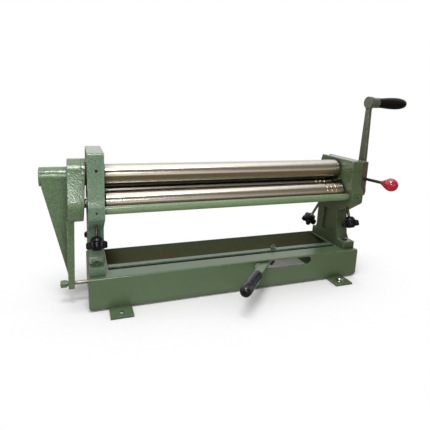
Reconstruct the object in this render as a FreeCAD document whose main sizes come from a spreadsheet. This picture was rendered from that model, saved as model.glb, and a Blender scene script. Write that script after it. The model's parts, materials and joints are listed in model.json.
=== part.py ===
import FreeCAD, Part
import os
import re
import Sketcher

# Millimetres. X runs along the rolls, Y to the back, Z up; the origin is on the
# floor below the middle of the base.

SIZES = {
    # middle of the machine's footprint, from the middle of the base
    "middle_right": 29,
    "middle_front": 30.1,
    # base tray, straps and rail
    "base_length": 693,
    "base_width": 164,
    "base_top": 76,
    "base_sheet": 4,
    "base_corner": 8,
    "front_flange": 39,
    "end_plate": 44,
    "strap_thickness": 5,
    "strap_width": 49,
    "strap_offset": 281,
    "strap_overhang": 40,
    "strap_hole_inset": 19,
    "strap_hole_radius": 5.5,
    "hold_down_flats": 16,
    "hold_down_head": 6.6,
    "washer_thickness": 1.6,
    "rail_front": 29,
    "rail_width": 14,
    "rail_web_depth": 34,
    "rail_notch": 60,
    # end frames
    "frame_inside": 310,
    "frame_thickness": 34,
    "left_top": 342.6,
    "right_top": 314.4,
    "head_front": 69.5,
    "head_back": 69.5,
    "bulge": 10,
    "bulge_top": 249,
    "bulge_face": 232,
    "bulge_low": 205,
    "column_top": 168,
    "column_low": 107,
    "column_front": 26,
    "column_back": 60,
    "column_flare": 10,
    "column_bow": 4,
    "foot_thickness": 19,
    "foot_front": 68,
    "foot_back": 78,
    "foot_step": 8,
    "foot_bolt_inset": 19,
    "foot_back_bolt_inset": 10,
    "foot_bolt_radius": 4,
    "foot_nut_flats": 13,
    "foot_nut_height": 6.5,
    "foot_head_radius": 6.5,
    "foot_head_height": 4,
    "spot_radius": 8.5,
    "pocket_depth": 6,
    "pocket_rim": 15,
    "pocket_top_rim": 20,
    "pocket_back_rim": 30,
    "pocket_low_rim": 8,
    "pocket_round": 4,
    "spot_height": 16,
    "head_round": 5,
    "head_back_round": 24,
    "bulge_round": 9,
    # rolls
    "top_axis": 283.5,
    "roll_radius": 25,
    "roll_end": 306,
    "journal_radius": 10,
    "front_angle": 24.5,
    "front_distance": 61.5,
    "rear_angle": 33.5,
    "rear_distance": 52.5,
    "groove_first": 256,
    "groove_pitch": 13,
    "groove_radius": 2.5,
    # bearing blocks and adjusting screws
    "block_half": 16,
    "block_gap": 0.3,
    "bush_wall": 2,
    "front_slot_start": 33,
    "front_slot_end": 80,
    "rear_slot_start": 34.6,
    "rear_slot_end": 95,
    "screw_offset": 327,
    "screw_radius": 4,
    "thread_gap": 0.08,
    "thread_length": 45,
    "screw_tip_radius": 3,
    "screw_tip_length": 3.5,
    "front_knob_place": 149,
    "rear_knob_place": 218,
    "knob_height": 30,
    "knob_radius": 15.5,
    "knob_dome": 10,
    "knob_dome_top": 10,
    "knob_foot": 4,
    "knob_foot_radius": 10.5,
    "knob_lobe_radius": 6.5,
    "knob_lobe_circle": 16.5,
    # tie bar
    "tie_radius": 9,
    "tie_front": 60,
    "tie_height": 219.3,
    "tie_depth": 28,
    "set_screw_radius": 2.5,
    # gears
    "gear_tip": 31.3,
    "gear_root": 16.5,
    "gear_face": 13,
    "tooth_count": 10,
    "top_gear_left": 372,
    "front_gear_left": 369,
    "spacer_thickness": 1.2,
    "spacer_radius": 22,
    "tooth_base": 5.4,
    "tooth_tip": 3,
    # tilt arm
    "housing_left": 383,
    "housing_right": 345.4,
    "housing_radius": 38,
    "housing_wall": 5,
    "flange_depth": 9,
    "housing_screw_radius": 1.5,
    "lift_angle": 3,
    "boss_radius": 20.5,
    "boss_end": 439,
    "arm_bush_wall": 3,
    "bar_left": 387,
    "bar_right": 371,
    "bar_foot_right": 374,
    "bar_front": 41,
    "bar_depth": 28,
    "bar_bottom": 39,
    "web_front": 20,
    "web_thickness": 8,
    "web_top_left": 434,
    "web_top_height": 264,
    "web_middle_left": 412,
    "web_middle_height": 169,
    "web_low_height": 64,
    "pivot_height": 306,
    "pivot_offset": 326,
    "pivot_radius": 5,
    "swivel_half": 22,
    "swivel_below": 17.5,
    "swivel_above": 35,
    "swivel_right": 320,
    "swivel_side_gap": 0.4,
    "swivel_end_gap": 2,
    "window_wall": 6,
    "pin_hole_radius": 3.3,
    # pull rod and base lever
    "rod_radius": 4,
    "rod_front": 29.3,
    "rod_height": 47.6,
    "lever_x": 122,
    "lever_front": 22,
    "lever_rest": 227.5,
    "lever_width": 20,
    "lever_thickness": 10,
    "lever_top": 70.5,
    "lever_hub": 13,
    "lever_bolt_radius": 4,
    "link_arm": 10.07,
    "link_radius": 3,
    "link_gap": 0.6,
    "link_sweep": 2.8,
    "eye_radius": 9.5,
    "nut_flats": 16,
    "nut_length": 12,
    "nut_gap": 0.7,
    "grip_start": 145,
    "grip_end": 242.9,
    "grip_radius": 13,
    "tang_width": 12,
    "tang_thickness": 7,
    "slot_half_length": 80,
    "slot_low": 52,
    "slot_high": 72,
    # right journal, cap and lock
    "parting": 287,
    "end_bush_wall": 4,
    "cap_pin_back": 57,
    "cap_pin_radius": 4,
    "knuckle_radius": 11,
    "knuckle_gap": 0.6,
    "tongue_width": 12,
    "cap_gap": 0.6,
    "lock_thickness": 13.7,
    "lock_gap": 0.3,
    "lock_bottom": 224,
    "lock_width": 36,
    "lock_tail_width": 24,
    "lock_tail_top": 262,
    "lock_pivot_front": 50,
    "lock_pivot_height": 300.5,
    "lock_pin_radius": 5,
    "catch_front": 58,
    "catch_rise": 18.7,
    "catch_radius": 4,
    "handle_height": 268.5,
    "handle_radius": 3.8,
    "handle_inset": 14,
    "ball_radius": 16,
    "ball_reach": 90,
    "ball_neck": 28,
    "ball_neck_radius": 6,
    "handle_tilt": 2.6,
    "notch_angle": 36,
    "notch_gap": 0.8,
    # crank
    "crank_left": 372,
    "crank_thickness": 9,
    "crank_length": 237.4,
    "crank_low_width": 28,
    "crank_top_width": 14,
    "crank_hub_radius": 18,
    "crank_eye_radius": 16,
    "crank_boss_radius": 13.5,
    "crank_boss_end": 402,
    "crank_grip_end": 497,
    "crank_grip_small": 12.5,
    "crank_grip_big": 15.5,
    "crank_grip_tip": 10,
    "spindle_radius": 5,
    "running_gap": 0.05,
}

# Places worked out from the sizes.
WORKED = {
    "end_x": "base_length/2",
    "side_y": "base_width/2",
    "frame_outside": "frame_inside+frame_thickness",
    "foot_top": "base_top+foot_thickness",
    "foot_bolt_y": "foot_bolt_inset-foot_front",
    "foot_back_bolt_y": "foot_back-foot_back_bolt_inset",
    "strap_reach": "side_y+strap_overhang",
    "strap_hole_y": "strap_reach-strap_hole_inset",
    "block_face": "frame_outside-0.5",
    "bush_radius": "journal_radius+bush_wall",
    "front_y": "-front_distance*sin(front_angle)",
    "front_z": "top_axis-front_distance*cos(front_angle)",
    "rear_y": "rear_distance*sin(rear_angle)",
    "rear_z": "top_axis-rear_distance*cos(rear_angle)",
    "tie_y": "-tie_front",
    "lever_y": "-lever_front",
    "rod_y": "-rod_front",
    "slot_middle": "(slot_low+slot_high)/2",
    "slot_radius": "(slot_high-slot_low)/2",
    "lever_middle": "lever_top-lever_thickness/2",
    "link_x": "lever_x+link_arm*cos(lever_rest)",
    "flange_left": "housing_right+flange_depth",
    "swivel_bush_radius": "journal_radius+arm_bush_wall",
    "end_bush_radius": "journal_radius+end_bush_wall",
    "catch_height": "tie_height+catch_rise",
    "lock_left": "frame_outside+lock_gap",
    "lock_right": "lock_left+lock_thickness",
    "lock_middle": "lock_left+lock_thickness/2",
    "crank_right": "crank_left+crank_thickness",
    "crank_top": "front_z+crank_length",
}

doc = FreeCAD.newDocument("plate_rolling_machine")
sheet = doc.addObject("Spreadsheet::Sheet", "Sizes")
for row, (alias, size) in enumerate(SIZES.items(), start=1):
    sheet.set(f"A{row}", alias)
    sheet.set(f"B{row}", str(size))
    sheet.setAlias(f"B{row}", alias)
doc.recompute()


def expression(text):
    """Words for sizes and places become cells of the sheet."""
    def swap(found):
        word = found.group(0)
        if word in SIZES:
            return "Sizes." + word
        if word in WORKED:
            return "(" + expression(WORKED[word]) + ")"
        return word
    return re.sub(r"[a-z][a-z_]*", swap, str(text))


def bind(thing, **sizes):
    for name, text in sizes.items():
        thing.setExpression(name.replace("__", "."), expression(text))
    return thing


def place(thing, x=0, y=0, z=0):
    bind(thing, Placement__Base__x=x, Placement__Base__y=y, Placement__Base__z=z)
    return thing


ALONG = {
    "x": FreeCAD.Rotation(FreeCAD.Vector(0, 1, 0), 90),
    "y": FreeCAD.Rotation(FreeCAD.Vector(1, 0, 0), -90),
    "z": FreeCAD.Rotation(),
}


def box(name, x, y, z):
    """A block between two places along each axis."""
    thing = doc.addObject("Part::Box", name)
    bind(thing, Length=f"({x[1]})-({x[0]})", Width=f"({y[1]})-({y[0]})", Height=f"({z[1]})-({z[0]})")
    return place(thing, x[0], y[0], z[0])


def along(thing, axis, start, x, y, z):
    centre = {"x": x, "y": y, "z": z}
    centre[axis] = start
    thing.Placement = FreeCAD.Placement(FreeCAD.Vector(), ALONG[axis])
    return place(thing, **centre)


def rod(name, axis, ends, radius, x=0, y=0, z=0):
    """A round bar from one end to the other along an axis."""
    thing = doc.addObject("Part::Cylinder", name)
    bind(thing, Radius=radius, Height=f"({ends[1]})-({ends[0]})")
    return along(thing, axis, ends[0], x, y, z)


def taper(name, axis, ends, radii, x=0, y=0, z=0):
    thing = doc.addObject("Part::Cone", name)
    bind(thing, Radius1=radii[0], Radius2=radii[1], Height=f"({ends[1]})-({ends[0]})")
    return along(thing, axis, ends[0], x, y, z)


def hexagon(name, axis, ends, across_flats, x=0, y=0, z=0):
    thing = doc.addObject("Part::Prism", name)
    thing.Polygon = 6
    bind(thing, Circumradius=f"({across_flats})/sqrt(3)", Height=f"({ends[1]})-({ends[0]})")
    return along(thing, axis, ends[0], x, y, z)


def join(name, *things):
    thing = doc.addObject("Part::MultiFuse", name)
    thing.Shapes = list(things)
    thing.Refine = True
    return thing


def group(name, *things):
    thing = doc.addObject("Part::Compound", name)
    thing.Links = list(things)
    return thing


def cut(name, base, *tools):
    tool = tools[0] if len(tools) == 1 else join(name + "_tools", *tools)
    thing = doc.addObject("Part::Cut", name)
    thing.Base = base
    thing.Tool = tool
    thing.Refine = True
    return thing


def slope(thing, side, x=0):
    """Puts a piece made about the top roll's axis on the front or the rear line."""
    angle = {"front": "-front_angle", "rear": "rear_angle"}[side]
    thing.Placement = FreeCAD.Placement(FreeCAD.Vector(), FreeCAD.Rotation(FreeCAD.Vector(1, 0, 0), 1))
    bind(thing, Placement__Rotation__Angle=angle)
    return place(thing, x, 0, "top_axis")


PLANES = {"XY": "XY_Plane", "XZ": "XZ_Plane", "YZ": "YZ_Plane"}


def sketch_on(body, plane, offset):
    sketch = body.newObject("Sketcher::SketchObject", body.Name + "_sketch")
    origin = [part for part in body.Origin.OriginFeatures if part.Role == PLANES[plane]][0]
    sketch.AttachmentSupport = [(origin, "")]
    sketch.MapMode = "FlatFace"
    bind(sketch, AttachmentOffset__Base__z=offset)
    return sketch


def outline(sketch, points):
    """A closed run of straight lines, each corner held at its own place."""
    doc.recompute()
    spots = [[float(sketch.evalExpression(expression(part))) for part in point] for point in points]
    count = len(points)
    for index in range(count):
        start = FreeCAD.Vector(*spots[index], 0)
        end = FreeCAD.Vector(*spots[(index + 1) % count], 0)
        sketch.addGeometry(Part.LineSegment(start, end), False)
    for index in range(count):
        sketch.addConstraint(Sketcher.Constraint("Coincident", index, 2, (index + 1) % count, 1))
    for index, point in enumerate(points):
        for kind, line, text, spot in zip(("DistanceX", "DistanceY"), (-2, -1), point, spots[index]):
            if text == 0:
                sketch.addConstraint(Sketcher.Constraint("PointOnObject", index, 1, line))
                continue
            name = f"{kind.lower()}_{index}"
            number = sketch.addConstraint(Sketcher.Constraint(kind, -1, 1, index, 1, spot))
            sketch.renameConstraint(number, name)
            sketch.setExpression(f"Constraints.{name}", expression(text))


def plate(name, plane, points, ends, rounds=()):
    """An outline made solid from one end to the other, with some corners rounded."""
    body = doc.addObject("PartDesign::Body", name)
    offset = f"-({ends[1]})" if plane == "XZ" else ends[0]
    sketch = sketch_on(body, plane, offset)
    outline(sketch, points)
    pad = body.newObject("PartDesign::Pad", name + "_pad")
    pad.Profile = sketch
    bind(pad, Length=f"({ends[1]})-({ends[0]})")
    doc.recompute()
    for number, (corners, radius) in enumerate(rounds):
        solid = body.Tip
        fillet = body.newObject("PartDesign::Fillet", f"{name}_round_{number}")
        fillet.Base = (solid, corner_edges(solid, sketch, corners))
        bind(fillet, Radius=radius)
        body.Tip = fillet
        doc.recompute()
    return body


def corner_edges(feature, sketch, corners):
    """Names of the edges that stand on the given corners of the outline."""
    matrix = sketch.Placement
    normal = matrix.Rotation.multVec(FreeCAD.Vector(0, 0, 1))
    names = []
    for corner in corners:
        foot = matrix.multVec(sketch.Geometry[corner].StartPoint)
        for index, edge in enumerate(feature.Shape.Edges, start=1):
            flat = [(vertex.Point - foot) - normal * (vertex.Point - foot).dot(normal)
                    for vertex in edge.Vertexes]
            if len(flat) == 2 and max(gap.Length for gap in flat) < 0.01:
                names.append(f"Edge{index}")
    return names


def turned(name, profile, y=0, z=0):
    """A piece turned about a line along X; the profile is (place along X, radius)."""
    body = doc.addObject("PartDesign::Body", name)
    sketch = sketch_on(body, "XZ", 0)
    outline(sketch, [(profile[0][0], 0)] + profile + [(profile[-1][0], 0)])
    turn = body.newObject("PartDesign::Revolution", name + "_turn")
    turn.Profile = sketch
    turn.ReferenceAxis = (sketch, ["H_Axis"])
    turn.Angle = 360
    place(body, 0, y, z)
    return body


def span(side, near, far):
    """A stretch along X between two distances from the middle."""
    return (f"-({far})", f"-({near})") if side == "left" else (near, far)


def at(side, distance):
    return f"-({distance})" if side == "left" else distance


def sloped(name, side, *things):
    """Pieces made about the top roll's axis, put on the front or the rear line."""
    return slope(group(name, *things), side)


def tube(name, axis, ends, outer, inner, x=0, y=0, z=0):
    return cut(name, rod(name + "_bar", axis, ends, outer, x, y, z),
               rod(name + "_bore", axis, (f"({ends[0]})-1", f"({ends[1]})+1"), inner, x, y, z))


PARTS = []


def keep(*things):
    PARTS.extend(things)


# Base tray: a bent sheet box, open below and behind the front flange
tray = plate("tray", "XZ",
             [("-end_x", "strap_thickness"), ("end_x", "strap_thickness"),
              ("end_x", "base_top"), ("-end_x", "base_top")],
             ("-side_y", "side_y"), [((0, 1), "base_corner")])
tray_hollow = box("tray_hollow", ("-end_x+base_sheet", "end_x-base_sheet"),
                  ("-side_y+base_sheet", "side_y-base_sheet"), (0, "base_top-base_sheet"))
tray_mouth = box("tray_mouth", ("-end_x+end_plate", "end_x-end_plate"),
                 ("-side_y+front_flange", "side_y-base_sheet"),
                 ("base_top-2*base_sheet", "base_top+base_sheet"))
slot_depth = ("-side_y-base_sheet", "-side_y+2*base_sheet")
slot_middle = box("slot_middle_cut",
                  ("lever_x-slot_half_length+slot_radius", "lever_x+slot_half_length-slot_radius"),
                  slot_depth, ("slot_low", "slot_high"))
slot_left = rod("slot_left_cut", "y", slot_depth, "slot_radius",
                x="lever_x-slot_half_length+slot_radius", z="slot_middle")
slot_right = rod("slot_right_cut", "y", slot_depth, "slot_radius",
                 x="lever_x+slot_half_length-slot_radius", z="slot_middle")
rod_hole = rod("rod_hole", "x", ("-end_x-base_sheet", "-end_x+2*base_sheet"), "rod_radius+3",
               y="rod_y", z="rod_height")
BOLT_SPOTS = [(side, place_y) for side in ("left", "right")
              for place_y in ("foot_bolt_y", "foot_back_bolt_y")]
tray_bolt_holes = [rod(f"tray_bolt_hole_{number}", "z",
                       ("base_top-2*base_sheet", "base_top+base_sheet"),
                       "foot_bolt_radius", x=at(side, "screw_offset"), y=place_y)
                   for number, (side, place_y) in enumerate(BOLT_SPOTS)]
keep(cut("base_frame", tray, tray_hollow, tray_mouth, slot_middle, slot_left, slot_right, rod_hole,
         *tray_bolt_holes))

# Mounting straps across the underside, holed at both ends
for side in ("left", "right"):
    bar = box(f"{side}_strap_bar",
              span(side, "strap_offset-strap_width/2", "strap_offset+strap_width/2"),
              ("-strap_reach", "strap_reach"), (0, "strap_thickness"))
    holes = [rod(f"{side}_strap_hole_{end}", "z", (-1, "strap_thickness+1"), "strap_hole_radius",
                 x=at(side, "strap_offset"), y=y)
             for end, y in (("front", "-strap_hole_y"), ("back", "strap_hole_y"))]
    keep(cut(f"{side}_mounting_strap", bar, *holes))

# Hold-down bolt and washer on the right front tab
keep(tube("hold_down_washer", "z", ("strap_thickness", "strap_thickness+washer_thickness"),
          "strap_hole_radius*1.9",
          "strap_hole_radius-0.4", x="strap_offset", y="-strap_hole_y"))
keep(join("hold_down_bolt",
          hexagon("hold_down_hexagon", "z",
                  ("strap_thickness+washer_thickness",
                   "strap_thickness+washer_thickness+hold_down_head"),
                  "hold_down_flats", x="strap_offset", y="-strap_hole_y"),
          rod("hold_down_shank", "z", ("0.2", "strap_thickness+3"), "strap_hole_radius-0.5",
              x="strap_offset", y="-strap_hole_y")))

# Lever rail: an angle strip between the end plates, its web open at the lever
RAIL_ENDS = ("-end_x+end_plate", "end_x-end_plate")
rail_top = box("rail_top", RAIL_ENDS, ("-rail_front", "-rail_front+rail_width"),
               ("base_top-base_sheet", "base_top"))
rail_web = box("rail_web", RAIL_ENDS, ("-rail_front+rail_width-base_sheet", "-rail_front+rail_width"),
               ("base_top-rail_web_depth", "base_top"))
rail_notch = box("rail_notch_cut", ("lever_x-rail_notch/2", "lever_x+rail_notch/2"),
                 ("-rail_front", "-rail_front+rail_width+1"),
                 ("base_top-rail_web_depth-1", "base_top-base_sheet"))
rail_hole = rod("rail_hole", "z", ("base_top-2*base_sheet", "base_top+1"), "lever_bolt_radius",
                x="lever_x", y="lever_y")
keep(cut("lever_rail", join("rail_angle", rail_top, rail_web), rail_notch, rail_hole))


# End frames: a head over a waisted column and a foot
def frame_outline(top):
    return [("-foot_front", "base_top"), ("-foot_front", "foot_top"),
            ("-column_front-column_flare-foot_step", "foot_top"),
            ("-column_front-column_flare", "column_low"),
            ("-column_front-column_bow", "(column_low+column_top)/2"), ("-column_front", "column_top"),
            ("-head_front-bulge", "bulge_low"), ("-head_front-bulge", "bulge_face"),
            ("-head_front", "bulge_top"), ("-head_front", top), ("head_back", top),
            ("head_back", "bulge_top"), ("head_back+bulge", "bulge_face"),
            ("head_back+bulge", "bulge_low"),
            ("column_back", "column_top"), ("column_back", "column_low"),
            ("column_back+column_bow", "foot_top"),
            ("foot_back", "foot_top"), ("foot_back", "base_top")]


def frame_cuts(side):
    """Slots for the bearing blocks, threads for their screws, and the other holes both frames have."""
    through = span(side, "frame_inside-1", "frame_outside+1")
    cuts = []
    for line in ("front", "rear"):
        slot = box(f"{side}_{line}_slot", through, ("-block_half-block_gap", "block_half+block_gap"),
                   (f"-{line}_slot_end", f"-{line}_slot_start"))
        thread = rod(f"{side}_{line}_thread", "z",
                     (f"-{line}_slot_end-thread_length", f"-{line}_slot_end+1"),
                     "screw_radius+thread_gap", x=at(side, "screw_offset"))
        cuts.append(sloped(f"{side}_{line}_slot_cut", line, slot, thread))
    cuts.append(rod(f"{side}_tie_hole", "x", span(side, "frame_inside-1", "frame_inside+tie_depth"),
                    "tie_radius",
                    y="tie_y", z="tie_height"))
    cuts.append(rod(f"{side}_tie_screw_hole", "y", ("-head_front-bulge-1", "tie_y"), "set_screw_radius",
                    x=at(side, "screw_offset"), z="tie_height"))
    for end, y in (("front", "foot_bolt_y"), ("back", "foot_back_bolt_y")):
        cuts.append(rod(f"{side}_{end}_foot_hole", "z", ("base_top-1", "foot_top+1"),
                        "foot_bolt_radius",
                        x=at(side, "screw_offset"), y=y))
        cuts.append(rod(f"{side}_{end}_spot", "z", ("foot_top", "foot_top+spot_height"), "spot_radius",
                        x=at(side, "screw_offset"), y=y))
    cuts.append(plate(f"{side}_pocket", "YZ",
                      [("-column_front-column_flare+pocket_rim", "foot_top+pocket_low_rim"),
                       ("column_back-pocket_back_rim+column_bow", "foot_top+pocket_low_rim"),
                       ("column_back-pocket_back_rim", "column_top"),
                       ("-column_front+pocket_top_rim", "column_top")],
                      span(side, "frame_inside-1", "frame_inside+pocket_depth"),
                      [((0, 1, 2, 3), "pocket_round")]))
    return cuts


left_frame = plate("left_frame_blank", "YZ", frame_outline("left_top"),
                   span("left", "frame_inside", "frame_outside"),
                   [((9,), "head_round"), ((10,), "head_back_round"),
                    ((3, 5, 6, 7, 12, 13, 14), "bulge_round")])
window = box("window", ("-frame_outside-1", "-frame_inside-window_wall"),
             ("-swivel_half-swivel_side_gap", "swivel_half+swivel_side_gap"),
             ("top_axis-swivel_below-swivel_end_gap", "top_axis+swivel_above+swivel_end_gap"))
shaft_hole = rod("shaft_hole", "x", ("-frame_outside", "-frame_inside+1"), "journal_radius+6",
                 z="top_axis")
pivot_seat = rod("pivot_seat", "y", ("-head_front+9", "head_back+1"), "pivot_radius", x="-pivot_offset",
                 z="pivot_height")
pivot_eye = rod("pivot_eye", "y", ("-head_front-1", "-head_front+10"), "pin_hole_radius",
                x="-pivot_offset", z="pivot_height")
keep(cut("left_end_frame", left_frame, *frame_cuts("left"), window, shaft_hole, pivot_seat, pivot_eye))

RIGHT = ("frame_inside", "frame_outside")
TONGUE = ("screw_offset-tongue_width/2", "screw_offset+tongue_width/2")
right_frame = plate("right_frame_blank", "YZ", frame_outline("parting"), RIGHT,
                    [((3, 5, 6, 7, 12, 13, 14), "bulge_round")])
EARS = {"inner": ("frame_inside-1", "screw_offset-tongue_width/2-running_gap"),
        "outer": ("screw_offset+tongue_width/2+running_gap", "frame_outside+1")}
ear_reliefs = []
for name, ends in EARS.items():
    ear_reliefs.append(rod(f"{name}_ear_relief", "x", ends, "knuckle_radius+knuckle_gap",
                           y="cap_pin_back", z="parting"))
    ear_reliefs.append(box(f"{name}_ear_opening", ends, ("cap_pin_back", "head_back+bulge"),
                           ("parting-knuckle_radius-knuckle_gap", "parting+1")))
journal_seat = rod("journal_seat", "x", ("frame_inside-1", "frame_outside+1"),
                   "end_bush_radius+block_gap", z="top_axis")
journal_way = box("journal_way", ("frame_inside-1", "frame_outside+1"),
                  ("-end_bush_radius-block_gap", "end_bush_radius+block_gap"),
                  ("top_axis", "parting+1"))
tongue = rod("tongue", "x", TONGUE, "knuckle_radius", y="cap_pin_back", z="parting")
pin_hole = rod("cap_pin_hole", "x", ("frame_inside-1", "frame_outside+1"), "cap_pin_radius",
               y="cap_pin_back", z="parting")
catch_hole = rod("catch_hole", "x", ("frame_outside-12", "frame_outside+1"), "catch_radius",
                 y="-catch_front", z="catch_height")
right_body = cut("right_frame_body", right_frame, *frame_cuts("right"), *ear_reliefs, journal_seat,
                 journal_way)
keep(cut("right_end_frame", join("right_frame_tongue", right_body, tongue), pin_hole, catch_hole))

# Tie bar between the heads, and the set screws that hold it
keep(rod("tie_bar", "x", ("-frame_inside-tie_depth", "frame_inside+tie_depth"), "tie_radius", y="tie_y",
         z="tie_height"))
keep(group("tie_bar_set_screws",
           *[rod(f"{side}_tie_screw", "y", ("-head_front-bulge+1.5", "tie_y-tie_radius"),
                 "set_screw_radius",
                 x=at(side, "screw_offset"), z="tie_height") for side in ("left", "right")]))

# Foot bolts and their nuts under the end plates
foot_bolts = []
foot_nuts = []
for number, (side, place_y) in enumerate(BOLT_SPOTS):
    spot = {"x": at(side, "screw_offset"), "y": place_y}
    foot_bolts.append(join(f"foot_bolt_{number}",
                           rod(f"foot_bolt_head_{number}", "z",
                               ("foot_top", "foot_top+foot_head_height"),
                               "foot_head_radius", **spot),
                           rod(f"foot_bolt_shank_{number}", "z",
                               ("base_top-base_sheet-foot_nut_height-1.5", "foot_top+1"),
                               "foot_bolt_radius", **spot)))
    foot_nuts.append(cut(f"foot_nut_{number}",
                         hexagon(f"foot_nut_blank_{number}", "z",
                                 ("base_top-base_sheet-foot_nut_height", "base_top-base_sheet"),
                                 "foot_nut_flats", **spot),
                         rod(f"foot_nut_bore_{number}", "z",
                             ("base_top-base_sheet-foot_nut_height-1", "base_top"),
                             "foot_bolt_radius", **spot)))
keep(group("foot_bolts", *foot_bolts), group("foot_nuts", *foot_nuts))


# Rolls
def roll(name, left_end, right_end, y, z, grooves):
    bar = turned(name + "_bar",
                 [(left_end, "journal_radius"), ("-roll_end", "journal_radius"),
                  ("-roll_end", "roll_radius-1"),
                  ("-roll_end+1", "roll_radius"), ("roll_end-1", "roll_radius"),
                  ("roll_end", "roll_radius-1"),
                  ("roll_end", "journal_radius"), (right_end, "journal_radius")], y, z)
    if not grooves:
        bar.Label = name
        return bar
    rings = []
    for number in range(3):
        ring = doc.addObject("Part::Torus", f"{name}_groove_{number}")
        bind(ring, Radius1="roll_radius", Radius2="groove_radius")
        rings.append(along(ring, "x", f"groove_first+{number}*groove_pitch", 0, y, z))
    return cut(name, bar, *rings)


top_roll = roll("top_roll", "-boss_end+2", "block_face", 0, "top_axis", False)
front_roll = roll("front_roll", "-front_gear_left-1.5", "crank_right+2", "front_y", "front_z", True)
rear_roll = roll("rear_roll", "-block_face", "block_face", "rear_y", "rear_z", True)
keep(top_roll, front_roll, rear_roll)


# Gears
def gear(name, left, y, z, turn):
    """A coarse gear of long teeth on a root disc; one tooth points up before it is turned."""
    body = doc.addObject("PartDesign::Body", name + "_blank")
    disc = sketch_on(body, "YZ", 0)
    circle = disc.addGeometry(Part.Circle(FreeCAD.Vector(), FreeCAD.Vector(0, 0, 1), 1), False)
    disc.addConstraint(Sketcher.Constraint("Coincident", circle, 3, -1, 1))
    disc.addConstraint(Sketcher.Constraint("Radius", circle, 1))
    bind(disc, **{"Constraints[1]": "gear_root"})
    root = body.newObject("PartDesign::Pad", name + "_root")
    root.Profile = disc
    bind(root, Length="gear_face")
    tooth_sketch = body.newObject("Sketcher::SketchObject", name + "_tooth_sketch")
    tooth_sketch.AttachmentSupport = disc.AttachmentSupport
    tooth_sketch.MapMode = "FlatFace"
    outline(tooth_sketch, [("-tooth_base/2", "gear_root-1"), ("tooth_base/2", "gear_root-1"),
                           ("tooth_base/2", "(gear_root+gear_tip)/2"), ("tooth_tip/2", "gear_tip"),
                           ("-tooth_tip/2", "gear_tip"), ("-tooth_base/2", "(gear_root+gear_tip)/2")])
    tooth = body.newObject("PartDesign::Pad", name + "_tooth")
    tooth.Profile = tooth_sketch
    bind(tooth, Length="gear_face")
    doc.recompute()
    ring = body.newObject("PartDesign::PolarPattern", name + "_teeth")
    ring.Originals = [tooth]
    ring.Axis = ([part for part in body.Origin.OriginFeatures if part.Role == "X_Axis"][0], [""])
    ring.Angle = 360
    bind(ring, Occurrences="tooth_count")
    body.Tip = ring
    doc.recompute()
    bored = cut(name, body, rod(name + "_bore", "x", (-1, "gear_face+1"), "journal_radius"))
    bored.Placement = FreeCAD.Placement(FreeCAD.Vector(), FreeCAD.Rotation(FreeCAD.Vector(1, 0, 0), 1))
    bind(bored, Placement__Rotation__Angle=turn)
    return place(bored, left, y, z)


keep(gear("top_roll_gear", "-top_gear_left", 0, "top_axis", "-front_angle"),
     gear("front_roll_gear", "-front_gear_left", "front_y", "front_z", "180/tooth_count-front_angle"))

# Spacer ring on the front roll's journal, beside the left head
keep(tube("front_roll_spacer", "x",
          ("-frame_outside-block_gap-spacer_thickness", "-frame_outside-block_gap"),
          "spacer_radius", "journal_radius+running_gap", y="front_y", z="front_z"))

# Bearing blocks, their bushes, the adjusting screws and the star knobs
for line in ("front", "rear"):
    bushes = []
    for side in ("left", "right"):
        centre = f"-{line}_distance"
        ends = span(side, "frame_inside+0.5", "block_face")
        shape = cut(f"{line}_{side}_bearing_block",
                    box(f"{line}_{side}_block", ends, ("-block_half", "block_half"),
                        (f"{centre}-block_half", f"{centre}+block_half")),
                    rod(f"{line}_{side}_block_bore", "x", (f"({ends[0]})-1", f"({ends[1]})+1"),
                        "bush_radius", z=centre),
                    rod(f"{line}_{side}_tip_hole", "z",
                        (f"{centre}-block_half-1", f"{centre}-block_half+screw_tip_length"),
                        "screw_tip_radius+running_gap", x=at(side, "screw_offset")))
        keep(slope(shape, line))
        bushes.append(tube(f"{line}_{side}_bush", "x", ends, "bush_radius",
                           "journal_radius+running_gap",
                           y=f"{line}_y", z=f"{line}_z"))
        x = at(side, "screw_offset")
        low = f"-{line}_knob_place-knob_height/2"
        high = f"-{line}_knob_place+knob_height/2"
        screw = join(f"{line}_{side}_adjusting_screw",
                     rod(f"{line}_{side}_screw_bar", "z",
                         (f"-{line}_knob_place", f"{centre}-block_half"),
                         "screw_radius", x=x),
                     rod(f"{line}_{side}_screw_tip", "z",
                         (f"{centre}-block_half-2",
                          f"{centre}-block_half+screw_tip_length-running_gap"),
                         "screw_tip_radius", x=x))
        keep(slope(screw, line))
        shoulder = f"{high}-knob_dome"
        lobes = [rod(f"{line}_{side}_lobe_{number}", "z", (f"{low}+knob_foot", shoulder),
                     "knob_lobe_radius",
                     x=f"{x}+knob_lobe_circle*cos({72 * number}+18)",
                     y=f"knob_lobe_circle*sin({72 * number}+18)")
                 for number in range(5)]
        knob = cut(f"{line}_{side}_star_knob",
                   join(f"{line}_{side}_knob_blank",
                        rod(f"{line}_{side}_knob_core", "z", (f"{low}+knob_foot/2", shoulder),
                            "knob_radius", x=x),
                        rod(f"{line}_{side}_knob_foot", "z", (low, shoulder), "knob_foot_radius", x=x),
                        taper(f"{line}_{side}_knob_dome", "z", (shoulder, high),
                              ("knob_radius", "knob_dome_top"),
                              x=x),
                        *lobes),
                   rod(f"{line}_{side}_knob_bore", "z", (f"-{line}_knob_place", f"{high}+1"),
                       "screw_radius", x=x))
        keep(slope(knob, line))
    keep(group(f"{line}_roll_bushes", *bushes))

# Tilt arm: boss, gear housing, web and bar in one casting
ALL_ROUND = ("-housing_left", "-housing_right+10")
INSIDE = ("-housing_left+housing_wall", "-housing_right+12")


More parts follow.
